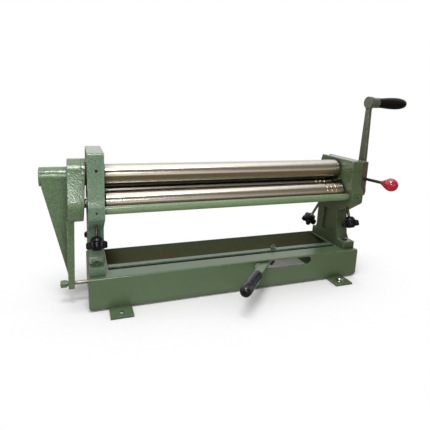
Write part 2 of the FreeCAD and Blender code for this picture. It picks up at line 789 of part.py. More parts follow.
def racetrack(name, ends, radius):
    """A rounded block round both gear axes."""
    return [rod(f"{name}_top", "x", ends, radius, z="top_axis"),
            rod(f"{name}_low", "x", ends, radius, y="front_y", z="front_z"),
            sloped(f"{name}_middle", "front",
                   box(f"{name}_block", ends, (f"-({radius})", radius), ("-front_distance", 0)))]


def leaning_cut(name):
    """Everything to the right of the housing's face, which leans by the lift angle."""
    thing = box(name + "_block", (0, "2*housing_radius"), ("-3*housing_radius", "3*housing_radius"),
                ("-7*housing_radius", "housing_radius"))
    holder = group(name, thing)
    holder.Placement = FreeCAD.Placement(FreeCAD.Vector(), FreeCAD.Rotation(FreeCAD.Vector(0, 1, 0), 1))
    bind(holder, Placement__Rotation__Angle="lift_angle")
    return place(holder, "-housing_right", 0, "top_axis+housing_radius")


boss = rod("arm_boss", "x", ("-boss_end", "-housing_left+1"), "boss_radius", z="top_axis")
web = plate("arm_web", "XZ",
            [("-web_top_left", "top_axis"), ("-web_top_left", "web_top_height"),
             ("-web_middle_left", "web_middle_height"), ("-bar_left", "web_low_height"),
             ("-housing_left+housing_wall", "web_low_height"),
             ("-housing_left+housing_wall", "top_axis")],
            ("-web_front", "-web_front+web_thickness"))
bar = plate("arm_bar", "XZ",
            [("-bar_left", "bar_bottom"), ("-bar_foot_right", "bar_bottom"),
             ("-bar_right", "front_z-housing_radius+housing_wall-1"),
             ("-bar_left", "front_z-housing_radius+housing_wall-1")],
            ("-bar_front", "-bar_front+bar_depth"), [((0, 1), 2)])
arm_blank = join("arm_blank", *racetrack("housing", ALL_ROUND, "housing_radius"), boss, web, bar)
flange_seat = rod("flange_seat", "x", ("-flange_left", "-housing_right+20"), "housing_radius+1",
                  z="top_axis")
arm_bore = rod("arm_bore", "x", ("-boss_end-1", "-housing_left+housing_wall+1"), "swivel_bush_radius",
               z="top_axis")
rod_slot = box("rod_slot", ("-bar_left-1", "-bar_right+1"),
               ("rod_y-rod_radius-1", "rod_y+rod_radius+1"),
               ("rod_height", "rod_height+rod_radius+3"))
rod_slot_low = rod("rod_slot_low", "x", ("-bar_left-1", "-bar_right+1"), "rod_radius+1", y="rod_y",
                   z="rod_height")
HOUSING_SCREWS = (20, 90, 160)


def housing_screw_bars(name, left):
    return [rod(f"{name}_{number}", "x", (left, "-flange_left+4"), "housing_screw_radius",
                y=f"(housing_radius-housing_wall/2)*cos({turn})",
                z=f"top_axis+(housing_radius-housing_wall/2)*sin({turn})")
            for number, turn in enumerate(HOUSING_SCREWS)]


keep(cut("tilt_arm", arm_blank, *racetrack("cavity", INSIDE, "housing_radius-housing_wall"),
         leaning_cut("arm_lean"), flange_seat, arm_bore, rod_slot, rod_slot_low,
         *housing_screw_bars("arm_screw_hole", "-flange_left-9")))

# Swivel block: flange on the housing and a block in the left head's window
flange = cut("swivel_flange_cut",
             rod("swivel_flange", "x", ("-flange_left", "-housing_right+10"), "housing_radius",
                 z="top_axis"),
             leaning_cut("swivel_lean"))
swivel = box("swivel_body", ("-flange_left", "-swivel_right"), ("-swivel_half", "swivel_half"),
             ("top_axis-swivel_below", "top_axis+swivel_above-1"))
keep(cut("swivel_block", join("swivel_blank", flange, swivel),
         rod("swivel_bore", "x", ("-flange_left-1", "-swivel_right+1"), "swivel_bush_radius",
             z="top_axis"),
         rod("swivel_pivot_bore", "y", ("-swivel_half-1", "swivel_half+1"), "pivot_radius+running_gap",
             x="-pivot_offset", z="pivot_height"),
         *housing_screw_bars("flange_screw_hole", "-flange_left-9")))
keep(group("housing_screws", *housing_screw_bars("housing_screw", "-flange_left-9")))
keep(tube("swivel_bush", "x", ("-flange_left", "-swivel_right"), "swivel_bush_radius",
          "journal_radius+running_gap",
          z="top_axis"),
     tube("arm_bush", "x", ("-boss_end+1", "-housing_left+housing_wall"), "swivel_bush_radius",
          "journal_radius+running_gap", z="top_axis"),
     tube("end_bush", "x", ("frame_inside+1", "frame_outside-1"), "end_bush_radius",
          "journal_radius+running_gap",
          z="top_axis"))
keep(rod("tilt_pivot_pin", "y", ("-head_front+9", "head_back-2"), "pivot_radius", x="-pivot_offset",
         z="pivot_height"))

# Pull rod with its eye, and the nut that bears on the arm
eye_slot = box("eye_slot", ("link_x-link_radius-link_gap", "link_x+link_radius+link_gap"),
               ("rod_y-link_radius-link_sweep-link_gap", "rod_y+link_radius+link_gap"),
               ("rod_height-rod_radius-1", "rod_height+rod_radius+1"))
keep(cut("pull_rod",
         join("pull_rod_blank",
              rod("pull_rod_bar", "x", ("-bar_left-nut_length-5", "link_x-eye_radius/2"),
                  "rod_radius-0.01",
                  y="rod_y", z="rod_height"),
              rod("pull_rod_eye", "z", ("rod_height-rod_radius", "rod_height+rod_radius"), "eye_radius",
                  x="link_x", y="rod_y")),
         eye_slot))
keep(cut("pull_rod_nut",
         join("pull_rod_nut_blank",
              hexagon("pull_rod_nut_hex", "x", ("-bar_left-nut_length-4", "-bar_left-4"), "nut_flats",
                      y="rod_y", z="rod_height"),
              rod("pull_rod_nut_collar", "x", ("-bar_left-5", "-bar_left-nut_gap"), "rod_radius+2.2",
                  y="rod_y", z="rod_height")),
         rod("pull_rod_nut_bore", "x", ("-bar_left-nut_length-5", "-bar_left"), "rod_radius", y="rod_y",
             z="rod_height")))


# Base lever, made along its own length from the pivot
def swing(thing):
    thing.Placement = FreeCAD.Placement(FreeCAD.Vector(), FreeCAD.Rotation(FreeCAD.Vector(0, 0, 1), 1))
    bind(thing, Placement__Rotation__Angle="lever_rest")
    return place(thing, "lever_x", "lever_y", 0)


tang = (("grip_start-1", "grip_end-24"), ("-tang_width/2", "tang_width/2"),
        ("lever_middle-tang_thickness/2", "lever_middle+tang_thickness/2"))
lever_blank = join("lever_blank",
                   box("lever_bar", (0, "grip_start"), ("-lever_width/2", "lever_width/2"),
                       ("lever_top-lever_thickness", "lever_top")),
                   rod("lever_hub", "z", ("lever_top-lever_thickness", "lever_top"), "lever_hub"),
                   box("lever_tang", *tang))
keep(swing(cut("base_lever", lever_blank,
               rod("lever_bore", "z", ("lever_top-lever_thickness-1", "lever_top+1"),
                   "lever_bolt_radius+running_gap"),
               rod("link_seat", "z", ("lever_top-lever_thickness-1", "lever_top+1"), "link_radius",
                   x="link_arm"))))
grip = turned("lever_grip_bar",
              [("grip_start", "grip_radius-2.5"), ("grip_start+3", "grip_radius"),
               ("grip_end-32", "grip_radius"),
               ("grip_end-31", "grip_radius+0.7"), ("grip_end-7", "grip_radius"),
               ("grip_end", "grip_radius-6")],
              0, "lever_middle")
keep(swing(cut("base_lever_grip", grip, box("grip_hole", *tang))))
keep(swing(join("link_pin",
                rod("link_pin_bar", "z", ("rod_height-rod_radius-6", "lever_top"), "link_radius",
                    x="link_arm"),
                rod("link_pin_head", "z", ("rod_height-rod_radius-7", "rod_height-rod_radius-0.6"),
                    "link_radius+2.5",
                    x="link_arm"))))
keep(join("lever_pivot_bolt",
          rod("pivot_bolt_shank", "z", ("rod_height+rod_radius+1.2", "base_top+1"), "lever_bolt_radius",
              x="lever_x", y="lever_y"),
          rod("pivot_bolt_head", "z", ("base_top", "base_top+6"), "lever_bolt_radius+2.5", x="lever_x",
              y="lever_y"),
          taper("pivot_bolt_point", "z", ("base_top+6", "base_top+12"),
                ("lever_bolt_radius", "lever_bolt_radius-2"),
                x="lever_x", y="lever_y")))
keep(cut("lever_pivot_nut",
         hexagon("pivot_nut_blank", "z", ("rod_height+rod_radius+1.4", "lever_top-lever_thickness-0.3"),
                 11,
                 x="lever_x", y="lever_y"),
         rod("pivot_nut_bore", "z", ("rod_height", "lever_top"), "lever_bolt_radius", x="lever_x",
             y="lever_y")))

# Journal cap, hinged at the back of the right head
cap_blank = plate("cap_blank", "YZ",
                  [("-head_front", "parting"), ("cap_pin_back+knuckle_radius", "parting"),
                   ("cap_pin_back+knuckle_radius", "parting+knuckle_radius+2"),
                   ("cap_pin_back+knuckle_radius-5", "right_top"), ("-head_front", "right_top")],
                  RIGHT, [((4,), "head_round")])
cap_knuckle = rod("cap_knuckle", "x", RIGHT, "knuckle_radius", y="cap_pin_back", z="parting")
tongue_room = box("tongue_room",
                  ("screw_offset-tongue_width/2-block_gap", "screw_offset+tongue_width/2+block_gap"),
                  ("cap_pin_back-knuckle_radius-knuckle_gap", "head_back+1"),
                  ("parting-knuckle_radius-1", "right_top+1"))
keep(cut("journal_cap", join("cap_join", cap_blank, cap_knuckle), tongue_room,
         rod("cap_bore", "x", ("frame_inside-1", "frame_outside+1"), "end_bush_radius+cap_gap",
             z="top_axis"),
         rod("cap_pin_bore", "x", ("frame_inside-1", "frame_outside+1"), "cap_pin_radius+running_gap",
             y="cap_pin_back", z="parting"),
         rod("lock_pin_hole", "x", ("frame_outside-14", "frame_outside+1"), "lock_pin_radius",
             y="-lock_pivot_front", z="lock_pivot_height")))
keep(rod("cap_hinge_pin", "x", ("frame_inside+1", "frame_outside-1"), "cap_pin_radius",
         y="cap_pin_back", z="parting"))
keep(join("lock_pivot_screw",
          rod("lock_pivot_bar", "x", ("frame_outside-14", "lock_right+1"), "lock_pin_radius",
              y="-lock_pivot_front", z="lock_pivot_height"),
          rod("lock_pivot_head", "x", ("lock_right+0.3", "lock_right+4.5"), "lock_pin_radius+3.5",
              y="-lock_pivot_front", z="lock_pivot_height")))
keep(join("catch_stud",
          rod("catch_bar", "x", ("frame_outside-12", "lock_right+1"), "catch_radius", y="-catch_front",
              z="catch_height"),
          rod("catch_head", "x", ("lock_right+0.3", "lock_right+3.6"), "catch_radius+2.5",
              y="-catch_front", z="catch_height")))

# Lock plate with its notch, the handle rod and the ball
lock_blank = plate("lock_blank", "YZ",
                   [("-head_front", "lock_bottom"), ("-head_front+lock_tail_width", "lock_bottom"),
                    ("-head_front+lock_tail_width", "lock_tail_top"),
                    ("-head_front+lock_width", "lock_tail_top+lock_width-lock_tail_width"),
                    ("-head_front+lock_width", "right_top-1"), ("-head_front", "right_top-1")],
                   ("lock_left", "lock_right"), [((0, 1, 4, 5), 2)])
notch_bar = box("notch_bar", ("lock_left-1", "lock_right+1"), (0, "lock_width+catch_radius"),
                ("-catch_radius-notch_gap", "catch_radius+notch_gap"))
notch = group("notch", notch_bar)
notch.Placement = FreeCAD.Placement(FreeCAD.Vector(), FreeCAD.Rotation(FreeCAD.Vector(1, 0, 0), 1))
bind(notch, Placement__Rotation__Angle="-notch_angle")
place(notch, 0, "-catch_front", "catch_height")
notch_end = rod("notch_end", "x", ("lock_left-1", "lock_right+1"), "catch_radius+notch_gap",
                y="-catch_front", z="catch_height")


def handle(thing):
    thing.Placement = FreeCAD.Placement(FreeCAD.Vector(), FreeCAD.Rotation(FreeCAD.Vector(1, 0, 0), 1))
    bind(thing, Placement__Rotation__Angle="-handle_tilt")
    return place(thing, "lock_middle", "-head_front", "handle_height")


handle_ends = ("-ball_reach", "handle_inset")
handle_hole = handle(group("handle_hole", rod("handle_hole_bar", "y", handle_ends, "handle_radius")))
keep(cut("lock_plate", lock_blank, notch, notch_end,
         rod("lock_pivot_bore", "x", ("lock_left-1", "lock_right+1"), "lock_pin_radius+running_gap",
             y="-lock_pivot_front", z="lock_pivot_height"), handle_hole))
keep(handle(group("lock_handle_rod", rod("handle_bar", "y", handle_ends, "handle_radius"))))
ball = doc.addObject("Part::Sphere", "ball_sphere")
bind(ball, Radius="ball_radius")
place(ball, 0, "-ball_reach", 0)
keep(handle(cut("red_ball_knob",
                join("ball_blank", ball,
                     taper("ball_cone", "y", ("-ball_reach+ball_radius*0.42", "-ball_reach+ball_neck"),
                           ("ball_radius*0.907", "ball_neck_radius"))),
                rod("ball_bore", "y", ("-ball_reach", "1-ball_reach+ball_neck"), "handle_radius"))))

# Crank, its set screw, spindle and grip
crank_bar = plate("crank_bar", "YZ",
                  [("front_y-crank_low_width/2", "front_z"), ("front_y+crank_low_width/2", "front_z"),
                   ("front_y+crank_top_width/2", "crank_top"),
                   ("front_y-crank_top_width/2", "crank_top")],
                  ("crank_left", "crank_right"))
crank_blank = join("crank_blank", crank_bar,
                   rod("crank_hub", "x", ("crank_left-7", "crank_right+3"), "crank_hub_radius",
                       y="front_y", z="front_z"),
                   rod("crank_eye", "x", ("crank_left-1", "crank_right+2"), "crank_eye_radius",
                       y="front_y", z="crank_top"),
                   rod("crank_boss", "x", ("crank_right", "crank_boss_end"), "crank_boss_radius",
                       y="front_y", z="crank_top"))
keep(cut("crank_arm", crank_blank,
         rod("crank_bore", "x", ("crank_left-8", "crank_right+4"), "journal_radius", y="front_y",
             z="front_z"),
         rod("crank_screw_hole", "y", ("front_y-crank_hub_radius-1", "front_y"), "set_screw_radius+0.5",
             x="crank_left-3", z="front_z"),
         rod("spindle_hole", "x", ("crank_left+1", "crank_boss_end+1"), "spindle_radius", y="front_y",
             z="crank_top")))
keep(rod("crank_set_screw", "y", ("front_y-crank_hub_radius+1", "front_y-journal_radius"),
         "set_screw_radius+0.5",
         x="crank_left-3", z="front_z"))
keep(rod("grip_spindle", "x", ("crank_left+1", "crank_grip_end-6"), "spindle_radius", y="front_y",
         z="crank_top"))
grip_blank = turned("crank_grip_bar",
                    [("crank_boss_end+0.4", "crank_grip_small"),
                     ("crank_boss_end+(crank_grip_end-crank_boss_end)*0.35", "crank_grip_big-0.8"),
                     ("crank_boss_end+(crank_grip_end-crank_boss_end)*0.6", "crank_grip_big"),
                     ("crank_boss_end+(crank_grip_end-crank_boss_end)*0.85", "crank_grip_big-2"),
                     ("crank_grip_end-3", "crank_grip_tip+1"), ("crank_grip_end", "crank_grip_tip-2")],
                    "front_y", "crank_top")
keep(cut("crank_grip", grip_blank,
         rod("grip_bore", "x", ("crank_boss_end", "crank_grip_end-5"), "spindle_radius+running_gap",
             y="front_y", z="crank_top")))

doc.recompute()
failed = [f"{thing.Label}: {thing.State}" for thing in doc.Objects
          if {"Invalid", "Error"} & set(thing.State)]
if failed:
    raise RuntimeError(failed)
for part in PARTS:
    if part.Shape.isNull() or not part.Shape.isValid():
        raise RuntimeError(f"{part.Label}: bad shape")
os.makedirs("parts", exist_ok=True)
to_middle = FreeCAD.Vector(-SIZES["middle_right"], SIZES["middle_front"], 0)
for part in PARTS:
    shape = part.Shape.copy()
    shape.translate(to_middle)
    shape.exportStep(f"parts/{part.Label}.step")
print(len(PARTS), "parts")
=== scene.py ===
import json
import math

import bmesh
import bpy
from mathutils import Matrix, Vector


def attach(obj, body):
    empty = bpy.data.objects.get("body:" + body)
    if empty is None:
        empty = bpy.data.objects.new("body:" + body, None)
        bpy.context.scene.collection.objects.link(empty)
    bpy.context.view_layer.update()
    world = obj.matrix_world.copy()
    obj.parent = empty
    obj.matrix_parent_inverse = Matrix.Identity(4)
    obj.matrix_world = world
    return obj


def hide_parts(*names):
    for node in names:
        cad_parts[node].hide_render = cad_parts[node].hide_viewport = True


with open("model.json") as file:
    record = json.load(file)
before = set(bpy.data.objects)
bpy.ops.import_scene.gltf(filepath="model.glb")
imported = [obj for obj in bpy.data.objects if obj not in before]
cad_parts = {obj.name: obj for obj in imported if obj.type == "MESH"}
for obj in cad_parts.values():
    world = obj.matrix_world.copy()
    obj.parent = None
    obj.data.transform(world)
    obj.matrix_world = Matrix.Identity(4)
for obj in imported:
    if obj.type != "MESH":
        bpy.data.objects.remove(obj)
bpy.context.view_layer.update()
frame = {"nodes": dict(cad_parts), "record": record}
cad = frame["nodes"]
body_of_node = {node: body
                for body, members in frame["record"]["behaviour"]["bodies"].items()
                for node in members}

# Base tray: 4 mm sheet bent down at both long sides, with end plates that carry the castings
# and a slot for the lever in its front. It is sprayed with glossy sage enamel, smoother than
# on the castings. Its inside, which no cloth reaches, is browner, partly with oil and dust and
# partly as a painted reflection of a brown bench on its shaded walls.
MM = 0.001
BASE_MIDDLE = Vector((-29, 30.1, 0)) * MM


def spot(x, y, z):
    """A place in millimetres from the middle of the base, on the bench."""
    return BASE_MIDDLE + Vector((x, y, z)) * MM


def srgb(red, green, blue):
    """A colour as it is seen, turned into the light it gives back."""
    levels = (red / 255, green / 255, blue / 255)
    light = [((level + 0.055) / 1.055) ** 2.4 if level > 0.04 else level / 12.92 for level in levels]
    return (*light, 1)


def add(tree, kind, inputs=(), **settings):
    """A node with its settings; an input takes a value or another node's output."""
    node = tree.nodes.new(kind)
    for name, value in settings.items():
        setattr(node, name, value)
    for socket, value in dict(inputs).items():
        if isinstance(value, bpy.types.NodeSocket):
            tree.links.new(value, node.inputs[socket])
        else:
            node.inputs[socket].default_value = value
    return node


def scaled(colour, share):
    """A colour with its light multiplied, no brighter than white."""
    return (*(min(1, level * share) for level in colour[:3]), 1)


def number_inputs(tree, numbers):
    """Named inputs of a tree, each with the number that it has until it is given another."""
    for name, number in numbers.items():
        made = tree.interface.new_socket(name=name, in_out="INPUT", socket_type="NodeSocketFloat")
        made.default_value = number


def effect(name, inputs, output):
    """An empty shader group with named inputs and one output."""
    group = bpy.data.node_groups.new(name, "ShaderNodeTree")
    number_inputs(group, inputs)
    group.interface.new_socket(name=output, in_out="OUTPUT", socket_type="NodeSocketFloat")
    return group, group.nodes.new("NodeGroupInput").outputs, group.nodes.new("NodeGroupOutput")


def use(tree, group, **values):
    """The output of an effect placed in a material with its own values."""
    node = tree.nodes.new("ShaderNodeGroup")
    node.node_tree = group
    for name, value in values.items():
        node.inputs[name].default_value = value
    return node.outputs[0]


def maths(tree, operation, first, second, clamp=False):
    """The result of one operation on values or outputs, in any kind of tree."""
    inputs = {0: first, 1: second}
    return add(tree, "ShaderNodeMath", inputs, operation=operation, use_clamp=clamp).outputs[0]


def blend(tree, share, first, second, kind="MIX"):
    """Two colours mixed, or combined in the way that kind names."""
    inputs = {"Factor": share, 6: first, 7: second}
    return add(tree, "ShaderNodeMix", inputs, data_type="RGBA", blend_type=kind).outputs[2]


def spread_over(tree, value, low, high, first=0.0, last=1.0, **settings):
    """A value that runs from first to last while another runs from low to high."""
    inputs = {"Value": value, "From Min": low, "From Max": high, "To Min": first, "To Max": last}
    return add(tree, "ShaderNodeMapRange", inputs, **settings).outputs[0]


# edge wear and painted highlight: how much the surface turns within a few millimetres, broken
# up by a coarse noise; it paints edges paler, partly as wear and partly as painted highlight
edge_wear_and_highlight, given, wanted = effect("paled edges: rubbing and painted highlight", {"Width": 0.003, "Break Up": 90.0, "Amount": 1.0}, "Mask")
rounded = add(edge_wear_and_highlight, "ShaderNodeBevel", {"Radius": given["Width"]}, samples=4)
surface = add(edge_wear_and_highlight, "ShaderNodeNewGeometry")
turn = add(edge_wear_and_highlight, "ShaderNodeVectorMath", {0: rounded.outputs[0], 1: surface.outputs["Normal"]},
           operation="DOT_PRODUCT")
turned_away = spread_over(edge_wear_and_highlight, turn.outputs["Value"], 0.985, 0.88)
place = add(edge_wear_and_highlight, "ShaderNodeTexCoord").outputs["Object"]
patches = add(edge_wear_and_highlight, "ShaderNodeTexNoise", {"Vector": place, "Scale": given["Break Up"], "Detail": 3.0})
broken_up = spread_over(edge_wear_and_highlight, patches.outputs["Fac"], 0.4, 0.62)
paled_edges = maths(edge_wear_and_highlight, "MULTIPLY", turned_away, broken_up)
edge_wear_and_highlight.links.new(maths(edge_wear_and_highlight, "MULTIPLY", paled_edges, given["Amount"], True), wanted.inputs[0])

# mottle: slow change over a surface, from 0 to 1 about a half
mottle, given, wanted = effect("mottle", {"Scale": 12.0, "Contrast": 1.0}, "Value")
place = add(mottle, "ShaderNodeTexCoord").outputs["Object"]
cloud = add(mottle, "ShaderNodeTexNoise",
            {"Vector": place, "Scale": given["Scale"], "Detail": 5.0, "Roughness": 0.6})
about = maths(mottle, "SUBTRACT", cloud.outputs["Fac"], 0.5)
stronger = maths(mottle, "MULTIPLY", about, given["Contrast"])
mottle.links.new(maths(mottle, "ADD", stronger, 0.5, True), wanted.inputs[0])

# hammered enamel: shallow dimples a couple of millimetres across
hammered, given, wanted = effect("hammered enamel", {"Dimples": 420.0, "Orange Peel": 1500.0}, "Height")
place = add(hammered, "ShaderNodeTexCoord").outputs["Object"]
cells = add(hammered, "ShaderNodeTexVoronoi",
            {"Vector": place, "Scale": given["Dimples"], "Smoothness": 0.6}, feature="SMOOTH_F1")
fine = add(hammered, "ShaderNodeTexNoise", {"Vector": place, "Scale": given["Orange Peel"], "Detail": 1.0})
peel = maths(hammered, "MULTIPLY", fine.outputs["Fac"], 0.25)
hammered.links.new(maths(hammered, "ADD", cells.outputs["Distance"], peel), wanted.inputs[0])

# painted shade: corners and gaps that little light reaches, found by ambient occlusion and painted darker
painted_shade, given, wanted = effect("painted corner shade", {"Reach": 0.02, "Amount": 1.0}, "Mask")
shelter = add(painted_shade, "ShaderNodeAmbientOcclusion", {"Distance": given["Reach"]}, samples=4)
dark = spread_over(painted_shade, shelter.outputs["AO"], 0.95, 0.35)
painted_shade.links.new(maths(painted_shade, "MULTIPLY", dark, given["Amount"], True), wanted.inputs[0])


def finish(name):
    """A new material with its Principled shader."""
    made = bpy.data.materials.new(name)
    made.use_nodes = True
    return made, made.node_tree, made.node_tree.nodes["Principled BSDF"]


def enamel(name, colour, edge, shade, wear_and_highlight=0.6, dimples=300.0, depth=0.00034, speckle=1.0):
    """Sprayed paint over metal: uneven in tone, dimpled, with painted shade in corners and edges painted
    paler, partly as wear and partly as painted highlight.
    """
    made, tree, shader = finish(name)
    cloudy = use(tree, mottle, Scale=9.0, Contrast=1.6)
    even = blend(tree, cloudy, scaled(colour, 0.88), scaled(colour, 1.12))
    yellowed = [level * share for level, share in zip(colour, (1.06, 0.92, 0.76))] + [1]
    aged = blend(tree, use(tree, mottle, Scale=2.6, Contrast=2.6), even, yellowed)
    pooled = spread_over(tree, use(tree, hammered, Dimples=dimples), 0.75, 0.3, last=speckle)
    speckled = blend(tree, pooled, aged, (0.66, 0.7, 0.68, 1), "MULTIPLY")
    # painted shade: corners that little light reaches are painted towards the shade colour
    shade_in_corners = blend(tree, use(tree, painted_shade, Reach=0.018, Amount=0.7), speckled, shade)
    # edges painted paler: partly wear, partly painted highlight
    paled_edges = blend(tree, use(tree, edge_wear_and_highlight, Width=0.0035, Amount=wear_and_highlight), shade_in_corners, edge)
    tree.links.new(paled_edges, shader.inputs["Base Color"])
    uneven = use(tree, mottle, Scale=40.0, Contrast=1.5)
    gloss = spread_over(tree, uneven, 0.0, 1.0, 0.12, 0.28)
    tree.links.new(gloss, shader.inputs["Roughness"])
    height = use(tree, hammered, Dimples=dimples)
    relief = add(tree, "ShaderNodeBump", {"Height": height, "Distance": depth, "Strength": 0.8})
    tree.links.new(relief.outputs[0], shader.inputs["Normal"])
    shader.inputs["Coat Weight"].default_value = 0.1
    shader.inputs["Coat Roughness"].default_value = 0.16
    return made


def show(name, mesh, node, slot, *materials):
    """A finished piece in the place of a CAD node, on that node's body."""
    piece = bpy.data.objects.new(name, mesh)
    bpy.context.scene.collection.objects.link(piece)
    mesh.materials.clear()
    for made in materials:
        mesh.materials.append(made)
    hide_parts(node)
    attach(piece, body_of_node[node])
    return piece


def settled(mesh, angle=38):
    """Smooth shading between faces that nearly agree, with flat faces kept flat."""
    mesh.shade_smooth()
    mesh.set_sharp_from_angle(angle=math.radians(angle))
    holder = bpy.data.objects.new("holder", mesh)
    bpy.context.scene.collection.objects.link(holder)
    weighted = holder.modifiers.new("weighted", "WEIGHTED_NORMAL")
    weighted.keep_sharp = True
    result = bpy.data.meshes.new_from_object(holder.evaluated_get(bpy.context.evaluated_depsgraph_get()))
    bpy.data.objects.remove(holder)
    return result


def run_radius(edge, sharp):
    """The radius of the bend that a run of sharp edges makes at this one."""
    radius = 1.0
    for corner in edge.verts:
        here = (edge.other_vert(corner).co - corner.co).normalized()
        for other in corner.link_edges:
            if other is edge or other not in sharp:
                continue
            bend = math.pi - here.angle((other.other_vert(corner).co - corner.co).normalized())
            if math.radians(2) < bend < math.radians(40):
                radius = min(radius, (edge.calc_length() + other.calc_length()) / 2 / bend)
    return radius


def edges_over(shape, degrees):
    """The edges where two faces meet at more than an angle."""
    angle = math.radians(degrees)
    return {edge for edge in shape.edges if edge.is_manifold and edge.calc_face_angle(0) > angle}


def round_off(shape, edges, size, segments, clamp=False):
    """Edges rounded by so many millimetres, in so many steps."""
    if edges:
        bmesh.ops.bevel(shape, geom=list(edges), offset=size * MM, offset_type="OFFSET",
                        segments=segments, profile=0.5, affect="EDGES", clamp_overlap=clamp)


# distances in millimetres, then angles between faces in degrees
SAME_PLACE, BORE_RADIUS, BORE_ROUND = 0.002, 8, 0.35
SHARP_EDGE, SHARP_BORE, FLAT = 32, 55, 0.4


def dress(node, name, slot, material, width, bend=None):
    """A copy of a CAD solid with its edges rounded by so many millimetres, its holes by less.

    A bend is rounded first: the edges that its test picks, its size and its steps.
    """
    shape = bmesh.new()
    shape.from_mesh(cad[node].data)
    bmesh.ops.remove_doubles(shape, verts=shape.verts, dist=SAME_PLACE * MM)
    bmesh.ops.dissolve_limit(shape, angle_limit=math.radians(FLAT), verts=shape.verts, edges=shape.edges)
    if bend:
        picked, size, steps = bend
        round_off(shape, [edge for edge in shape.edges if picked(edge)], size, steps)
    keen = edges_over(shape, SHARP_EDGE)
    bores = {edge for edge in keen if run_radius(edge, keen) < BORE_RADIUS * MM}
    round_off(shape, keen - bores, width, 2)
    round_off(shape, edges_over(shape, SHARP_BORE), BORE_ROUND, 2, clamp=True)
    bmesh.ops.remove_doubles(shape, verts=shape.verts, dist=SAME_PLACE * MM)
    bmesh.ops.triangulate(shape, faces=[face for face in shape.faces if len(face.verts) > 4])
    shape.verts.index_update()
    mesh = bpy.data.meshes.new(name)
    mesh.from_pydata([corner.co.copy() for corner in shape.verts], [],
                     [[corner.index for corner in face.verts] for face in shape.faces])
    shape.free()
    return show(name, settled(mesh), node, slot, material)


BASE_TOP, BASE_SIDE, BEND_RADIUS = 76, 82, 3.2
INSIDE_LENGTH, INSIDE_WIDTH, INSIDE_TOP = 343, 78.5, 72.5


def on_long_top(edge):
    """Whether an edge is one of the two long bends at the top of the tray's sides."""
    start, end = (corner.co for corner in edge.verts)
    place = (start + end) / 2 - BASE_MIDDLE
    along = (start - end).normalized()
    on_top = place.z > (BASE_TOP - 0.1) * MM and abs(place.y) > (BASE_SIDE - 1) * MM
    return on_top and abs(along.x) > 0.99 and edge.is_manifold and edge.calc_face_angle(0) > 1


sheet_enamel = enamel("sage enamel on sheet", srgb(93, 116, 88), srgb(150, 168, 140), srgb(50, 50, 34),
                      speckle=0.15)
oil_and_reflection_enamel = enamel("tray inside: oil and painted bench reflection", srgb(111, 118, 88), srgb(126, 134, 104), srgb(52, 46, 30),
                     wear_and_highlight=0.2, speckle=0.3)
tray = dress("base_frame", "base_tray", "sage_paint", sheet_enamel, 0.8, (on_long_top, BEND_RADIUS, 4))
tray.data.materials.append(oil_and_reflection_enamel)
# inward faces take the browner enamel: oil and dust, with a painted reflection of a brown bench
for face in tray.data.polygons:
    place = (face.center - BASE_MIDDLE) / MM
    held_in = abs(place.x) < INSIDE_LENGTH and abs(place.y) < INSIDE_WIDTH and place.z < INSIDE_TOP
    faces_in = face.normal.xy.dot(place.xy) < 0.01
    if held_in and faces_in:
        face.material_index = 1

# Straps and lever rail: flat bars welded across the underside, and an angle strip that
# closes the open top behind the front flange and carries the lever's pivot.
# a paler copy of the sage, painted light: for the left casting and the rail's top, which the light falls on
lit_sage_enamel = enamel("sage enamel with painted light", srgb(112, 140, 118), srgb(160, 180, 160), srgb(60, 62, 46))
for side in ("left", "right"):
    dress(f"{side}_mounting_strap", f"{side}_strap", "sage_paint", sheet_enamel, 0.6)
# the rail is painted paler, as painted light on its top
dress("lever_rail", "lever_rail_angle", "sage_paint", lit_sage_enamel, 0.6)

# End frames: two iron castings, a head on a waisted column with a broad foot, painted over
# their cast skin with hammered enamel. The left one is painted paler and the right one darker,
# as painted light and shade: the light falls more on the left than on the right.
shaded_sage_enamel = enamel("sage enamel with painted shade", srgb(86, 104, 78), srgb(134, 150, 120), srgb(42, 50, 34),
                     speckle=0.5)
dress("left_end_frame", "left_casting", "sage_paint", lit_sage_enamel, 1.6)
dress("right_end_frame", "right_casting", "dark_sage_paint", shaded_sage_enamel, 1.6)

# Tie bar: a round bar let into both heads and painted a lighter green, as painted light where
# the light from above catches it, with each end held by a black set screw.
moulded, given, wanted = effect("fine grain", {"Grain": 2500.0}, "Height")
place = add(moulded, "ShaderNodeTexCoord").outputs["Object"]
grains = add(moulded, "ShaderNodeTexNoise", {"Vector": place, "Scale": given["Grain"], "Detail": 2.0})
moulded.links.new(grains.outputs["Fac"], wanted.inputs[0])


def skin(rings, hollow=False):
    """A closed mesh through rings of as many points each, with flat ends or with a bore."""
    shape = bmesh.new()
    rings = [[shape.verts.new(place) for place in ring] for ring in rings]
    pairs = list(zip(rings, rings[1:])) + ([(rings[-1], rings[0])] if hollow else [])
    for near, far in pairs:
        for step in range(len(near)):
            after = (step + 1) % len(near)
            shape.faces.new((near[step], near[after], far[after], far[step]))
    if not hollow:
        shape.faces.new(rings[0][::-1])
        shape.faces.new(rings[-1])
    bmesh.ops.recalc_face_normals(shape, faces=shape.faces)
    mesh = bpy.data.meshes.new("skin")
    shape.to_mesh(mesh)
    shape.free()
    return mesh


def turns(sides):
    """The angles of so many even steps round a circle."""
    return [2 * math.pi * step / sides for step in range(sides)]


def lathe(profile, start, along, sides=64, hollow=False):
    """A turned shape: (distance, radius) in millimetres along a direction from a start."""
    along = Vector(along).normalized()
    across = along.orthogonal().normalized()
    other = along.cross(across)

    def place(distance, radius, turn):
        outwards = across * math.cos(turn) + other * math.sin(turn)
        return Vector(start) + (along * distance + outwards * radius) * MM

    rings = [[place(distance, radius, turn) for turn in turns(sides)] for distance, radius in profile]
    return skin(rings, hollow)


